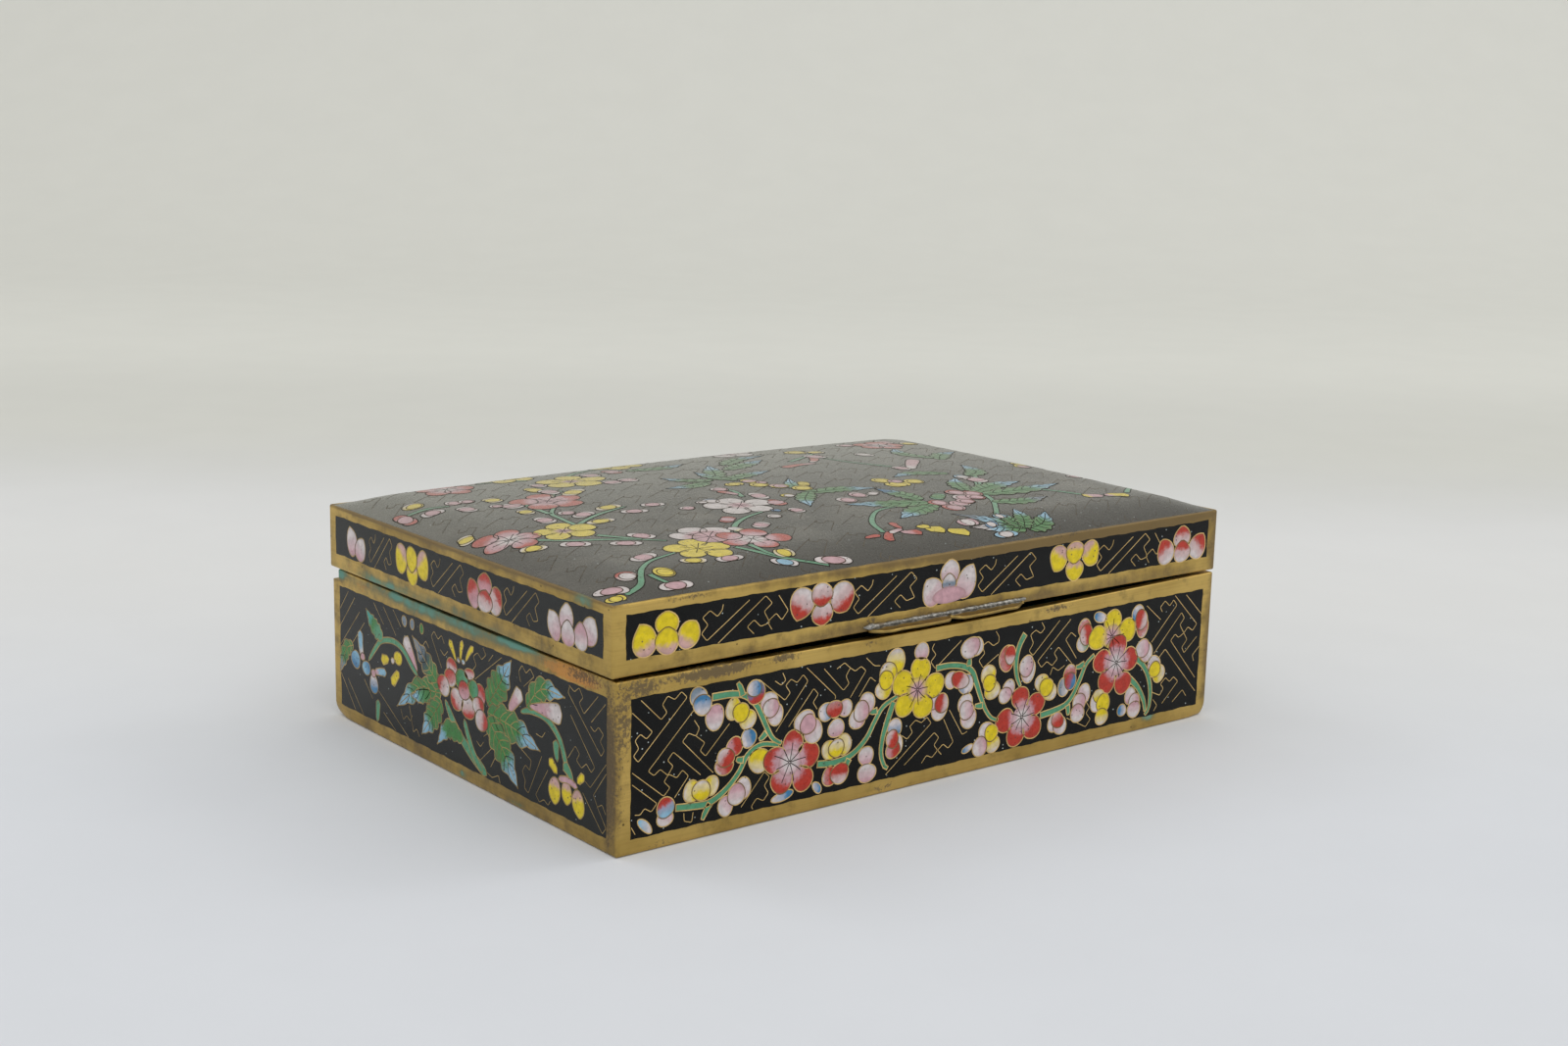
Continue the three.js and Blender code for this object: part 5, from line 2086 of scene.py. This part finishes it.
def make_lift(material):
    """The thumb-lift: a bent tab with a rolled lip, swept along the rim, and its solder."""
    low_z, high_z = lift_low[2], lift_high[2]
    face = lid_low[1] + 0.15
    places = np.concatenate([
        np.linspace(lift_low[0] + 0.05, -3, 46, endpoint=False),
        np.linspace(-3, 3, 31, endpoint=False),
        np.linspace(3, lift_high[0] - 0.05, 47),
    ])
    rings = []
    for x in places:
        pointed = min((lift_high[0] - x) / LIFT_TAPER, 1) ** 0.6
        reach = max(lift_reach(x) * pointed, LEAST_REACH)
        lip = min(LIFT_LIP, reach * 0.45)
        sag = 0.12 * math.sin(x / 5)
        droop = 0.28 * min(reach / 2.8, 1)
        section = [
            (0, low_z + 0.30),
            (-reach * 0.5, low_z + 0.16),
            (-reach + lip, low_z + 0.04),
            (-reach + lip * 0.3, low_z + 0.06),
            (-reach + 0.01, low_z + lip * 0.7),
            (-reach + 0.05, low_z + lip * 1.25),
            (-reach + lip * 0.8, low_z + lip * 1.7),
            (-reach * 0.72, low_z + 0.52),
            (-reach * 0.45, low_z + 0.62 + droop * 0.3),
            (-reach * 0.2, high_z - 0.08),
            (0, high_z + 0.05),
        ]
        stretch = 1 + 0.15 / 2.8
        lowest = low_z + 0.01
        rings.append(np.array([(x, face + y * stretch, max(z + 0.05 * sag, lowest)) for y, z in section]))
    points, faces = loft(rings)
    stains = [("solder", (x, face - 0.6, high_z), (4, 1.0, 0.5), 1.0) for x in range(-18, 19, 4)]
    stains += [("olive", (-6, face - 1.4, low_z + 0.5), (6, 1, 0.6), 0.4)]
    stains += [("pits", (9, face - 2, low_z + 0.4), (6, 1, 0.5), 0.3)]
    lift = solid("thumb_lift_tab", points, faces, "lid", material, stains, 50)
    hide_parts("thumb_lift")

    rng = random.Random(11)
    rings = []
    angle = np.linspace(0, 2 * math.pi, 14, endpoint=False)
    for x in np.linspace(lift_low[0] - 1.0, lift_high[0] + 0.4, 110):
        ends = min(1, (x - lift_low[0] + 1.2) / 1.6, (lift_high[0] + 0.6 - x) / 1.6)
        lump = SOLDER_SIZE + 0.08 * math.sin(x * 1.3) + 0.06 * math.sin(x * 2.9 + 1)
        lump += rng.uniform(-0.015, 0.015)
        lump += 0.32 * math.exp(-(((x - lift_low[0] - 0.4) / 1.1) ** 2))
        size = lump * math.sqrt(max(ends, 0.05))
        y = face - 0.12 + size * 1.15 * np.cos(angle)
        z = high_z + 0.02 + size * 0.85 * np.sin(angle)
        rings.append(np.column_stack([np.full(len(angle), x), y, z]))
    points, faces = loft(rings)
    stains = [("solder", (x, face, high_z), (4, 3, 3), 1.0) for x in range(-20, 21, 4)]
    stains += [("olive", (lift_low[0] + 3, face, high_z + 0.3), (2, 2, 0.5), 0.5)]
    solid("thumb_lift_solder", points, faces, "lid", material, stains, 60)


# Fields

# Directions out of each wall, and to the right on it as seen from outside
WALL_OUT = {"front": (0, -1, 0), "back": (0, 1, 0), "left": (-1, 0, 0), "right": (1, 0, 0)}
WALL_RIGHT = {"front": (1, 0, 0), "back": (-1, 0, 0), "left": (0, -1, 0), "right": (0, 1, 0)}


def wall_panel(body, side, low, high):
    """A field on a wall; its coordinates start at the wall's lower left corner seen from outside."""
    field_low, field_high = box_mm(f"{body}_{side}_enamel")
    out = np.array(WALL_OUT[side], float)
    right = np.array(WALL_RIGHT[side], float)
    centre = (low + high) / 2
    half = (high - low) / 2
    corner = centre - right * abs(right @ half) + out * abs(out @ half)
    corner[2] = low[2]
    starts = [(field_low - corner) @ right, (field_high - corner) @ right]
    field = ((min(starts), field_low[2] - low[2]), (max(starts), field_high[2] - low[2]))
    origin = corner - out * (WALL_SINK - GROUND_RISE)
    name = f"{body}_{side}"
    return Panel(name, body, origin, right, (0, 0, 1), out, field, FIRST_RISE, LEVEL_RISE)


def top_panel():
    """The field on the dome; its coordinates start at the lid's front left corner."""
    origin = (-half_lid, -half_lid_depth, lid_edge_top - DOME_SINK)
    field = ((EDGE_LINE, EDGE_LINE), (lid_length - EDGE_LINE, lid_width - EDGE_LINE))
    axes = (1, 0, 0), (0, 1, 0), (0, 0, 1)
    return Panel("lid_top", "lid", origin, *axes, field, DOME_FIRST_RISE, DOME_LEVEL_RISE, True)


def draw_wall(panel, side):
    """Draws the field of one wall.

    The back and the right end are the front and the left end the other way round.
    """
    long_side = side in ("front", "back")
    on_base = panel.body == "base"
    if side == "back":
        panel.mirror = base_length if on_base else lid_length
    if side == "right":
        panel.mirror = base_width if on_base else lid_width
    if on_base and long_side:
        prunus_field(panel, 4 if side == "back" else None)
    elif on_base:
        peony_field(panel)
    elif long_side:
        band_field(panel, FRONT_HALVES, FRONT_UNITS, FRONT_JOINED)
    else:
        band_field(panel, LEFT_HALVES, LEFT_UNITS)


def make_field(panel, black, colours, outline, lines, fine):
    """The meshes of a drawn field: its ground, cells, wires, key-fret and stamens."""
    ground = ground_plate(panel, black)
    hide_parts(f"{panel.name}_enamel")
    panel.cells.piece(panel.name + "_cells", panel.body, "enamel", colours)
    panel.wires.piece(panel.name + "_wires", panel.body, "brass", outline)
    panel.frets.piece(panel.name + "_fret", panel.body, "brass", lines)
    if panel.stamens.count:
        panel.stamens.piece(panel.name + "_stamens", panel.body, "brass", fine)


def make_fields():
    """Every enamel field, with bright wires on the long walls, browner ones on the ends and dark ones on
    the top. The browner and dark wires are the same gilt wire with painted shade and painted dark
    reflection.
    """
    front_black = black_enamel("black_enamel_front", 0.15, 0.2, (0.0040, 0.0040, 0.0036))
    side_black = black_enamel("black_enamel_sides", 0.25, 0.24, (0.0042, 0.0048, 0.0038))
    # The top's black is painted far paler than the walls' black: a painted sheen of the backdrop at the
    # grazing view
    top_black = black_enamel("black_enamel_top", 0.62, 0.28, (0.055, 0.050, 0.041), True)
    front_colours = colour_enamel("colour_enamel_front", 0.3, 0.3)
    side_colours = colour_enamel("colour_enamel_sides", 0.36, 0.3)
    # The top's colours get a painted glare towards the back
    top_colours = colour_enamel("colour_enamel_top", 0.65, 0.3, 0.42)
    bright = wire_metal("wire_bright", (0.82, 0.58, 0.24), (0.58, 0.40, 0.15), 0.38)
    # A darker copy of the gilt wire for the end walls: painted shade of the less lit ends
    brown = wire_metal("wire_brown", (0.50, 0.35, 0.14), (0.26, 0.18, 0.07), 0.4)
    # A near-black copy of the gilt wire: on the dome it is painted dark reflection; the walls' stamens use
    # it too
    dark = wire_metal("wire_dark", (0.030, 0.024, 0.018), (0.020, 0.016, 0.012), 0.5)
    # A dim copy of the gilt wire for the top's key-fret: painted dull reflection
    faint = wire_metal("wire_faint", (0.16, 0.13, 0.09), (0.10, 0.08, 0.06), 0.5)
    looks = {
        "front": (front_black, front_colours, bright, bright, dark),
        "back": (front_black, front_colours, bright, bright, dark),
        "left": (side_black, side_colours, brown, brown, dark),
        "right": (side_black, side_colours, brown, brown, dark),
    }
    tops = {"base": base_height, "lid": lid_edge_top}
    for body, (low, high) in {"base": (base_low, base_high), "lid": (lid_low, lid_high)}.items():
        wall_high = np.array([high[0], high[1], tops[body]])
        for side, materials in looks.items():
            panel = wall_panel(body, side, low, wall_high)
            draw_wall(panel, side)
            make_field(panel, *materials)
    panel = top_panel()
    top_field(panel)
    # The top's wires and key-fret are the gilt wire painted dark and dim: painted reflection at the
    # grazing view
    make_field(panel, top_black, top_colours, dark, faint, dark)


# Floor, backdrop, lights and camera

# The camera: turn, tilt and roll in radians, focal length and sensor, and its place
YAW = 0.67558
PITCH = 0.20452
ROLL = 0.02299
FOCAL = 49.342
SENSOR = 36
CAMERA = (-269.956, -337.964, 130.583)

# Lights: azimuth and elevation in degrees, distance and size in metres, and power in watts.
# Azimuth 0 is in front of the box and 90 is to its right.
LIGHTS = {
    "light_right": (76, 40, 1.5, 0.45, 1.7),
    "light_back": (206, 46, 1.1, 0.30, 0.7),
    "light_front": (-14, 50, 2.4, 1.8, 10),
}
SKY_COLOUR = (1.0, 0.99, 0.96, 1)
SKY_STRENGTH = 0.82


def view_axes():
    """Directions to the right, up and ahead in the picture."""
    forward = np.array([
        math.sin(YAW) * math.cos(PITCH),
        math.cos(YAW) * math.cos(PITCH),
        -math.sin(PITCH),
    ])
    right = np.array([math.cos(YAW), -math.sin(YAW), 0])
    up = np.cross(right, forward)
    rolled = right * math.cos(ROLL) + up * math.sin(ROLL)
    upright = -right * math.sin(ROLL) + up * math.cos(ROLL)
    return rolled, upright, forward


def make_camera():
    """The camera, as found from the corners of the box."""
    right, up, forward = view_axes()
    data = bpy.data.cameras.new("camera")
    data.lens = FOCAL
    data.sensor_width = SENSOR
    data.clip_start = 0.01
    camera = bpy.data.objects.new("camera", data)
    bpy.context.scene.collection.objects.link(camera)
    turn = Matrix((right, up, -forward)).transposed().to_4x4()
    camera.matrix_world = Matrix.Translation(np.array(CAMERA) / METRE) @ turn
    bpy.context.scene.camera = camera


def stage_material():
    """Pale paper: cool on the table, warmer on the backdrop, with a band of painted shade where the two
    meet.
    """
    material, tree = new_material("paper")
    place = add(tree, "TexCoord").outputs["Object"]
    depth = depth_of(tree, place)
    warm = graded(tree, depth, 0.19, 0.36)
    cool = graded(tree, depth, -0.08, 0.13, 1, 0)
    fine = graded(tree, noise(tree, place, 30, 5), 0.3, 0.7, 0.985, 1.0)
    base = mixed(tree, cool, (0.722, 0.730, 0.738), (0.70, 0.725, 0.775))
    base = mixed(tree, warm, base, (0.72, 0.725, 0.69))
    # Painted shade: a band up to a tenth darker on the table where it meets the backdrop's tone, lighter
    # again farther back
    farther = graded(tree, depth, 0.36, 0.62, 1, 0.2)
    painted_bend_shade = times(tree, graded(tree, depth, 0.13, 0.34), farther)
    grain_and_painted_shade = times(tree, fine, graded(tree, painted_bend_shade, 0, 1, 1, 0.9))
    toned = add(tree, "HueSaturation", {"Color": base, "Value": grain_and_painted_shade}).outputs[0]
    shaded(tree, {"Base Color": toned, "Roughness": 0.9, "Specular IOR Level": 0.1})
    return material


def make_stage():
    """A sweep of paper that is flat under the box and rises far behind it."""
    half = 3.0
    near_end = -2.5
    flat_to = 0.9
    bend_radius = 0.7
    height = 2.6
    steps = 12
    profile = [(y, 0.0) for y in (near_end, -1, 0, 0.5, flat_to)]
    for step in range(1, steps + 1):
        angle = math.pi / 2 * step / steps
        profile.append((flat_to + bend_radius * math.sin(angle), bend_radius * (1 - math.cos(angle))))
    profile.append((flat_to + bend_radius, height))
    columns = np.linspace(-half, half, 9)
    points = [(x, y, z) for y, z in profile for x in columns]
    faces = []
    for row in range(len(profile) - 1):
        for column in range(len(columns) - 1):
            a = row * len(columns) + column
            faces.append([a, a + 1, a + 1 + len(columns), a + len(columns)])
    mesh = bpy.data.meshes.new("stage_sweep")
    mesh.from_pydata(points, [], faces)
    mesh.shade_smooth()
    mesh.materials.append(stage_material())
    sweep = bpy.data.objects.new("stage_sweep", mesh)
    bpy.context.scene.collection.objects.link(sweep)
    sweep.rotation_euler = (0, 0, -YAW)


def make_light(name, azimuth, elevation, distance, size, power):
    """A square soft light that faces the box."""
    data = bpy.data.lights.new(name, "AREA")
    data.shape = "SQUARE"
    data.size = size
    data.energy = power
    light = bpy.data.objects.new(name, data)
    bpy.context.scene.collection.objects.link(light)
    turn, rise = math.radians(azimuth), math.radians(elevation)
    way = np.array([
        math.sin(turn) * math.cos(rise),
        -math.cos(turn) * math.cos(rise),
        math.sin(rise),
    ])
    light.rotation_euler = Vector(-way).to_track_quat("-Z", "Y").to_euler()
    light.location = way * distance


def make_lights():
    """Three soft lights and an even sky."""
    for name, values in LIGHTS.items():
        make_light(name, *values)
    world = bpy.data.worlds.new("studio")
    world.use_nodes = True
    background = world.node_tree.nodes["Background"]
    background.inputs["Color"].default_value = SKY_COLOUR
    background.inputs["Strength"].default_value = SKY_STRENGTH
    bpy.context.scene.world = world
    bpy.context.scene.view_settings.view_transform = "Standard"


make_camera()
make_stage()
make_lights()
brass = old_brass("old_brass")
hinge_brass = old_brass("hinge_brass", 0.2)
lift_brass = old_brass("lift_brass", 0.3, True)
lining = lining_enamel("lining_enamel")
make_base(brass, lining)
make_lid(brass, lining)
for body, count in (("base", 3), ("lid", 2)):
    for number in range(1, count + 1):
        make_knuckle(f"{body}_hinge_knuckle_{number}", body, hinge_brass)
make_pin(hinge_brass)
make_lift(lift_brass)
make_fields()
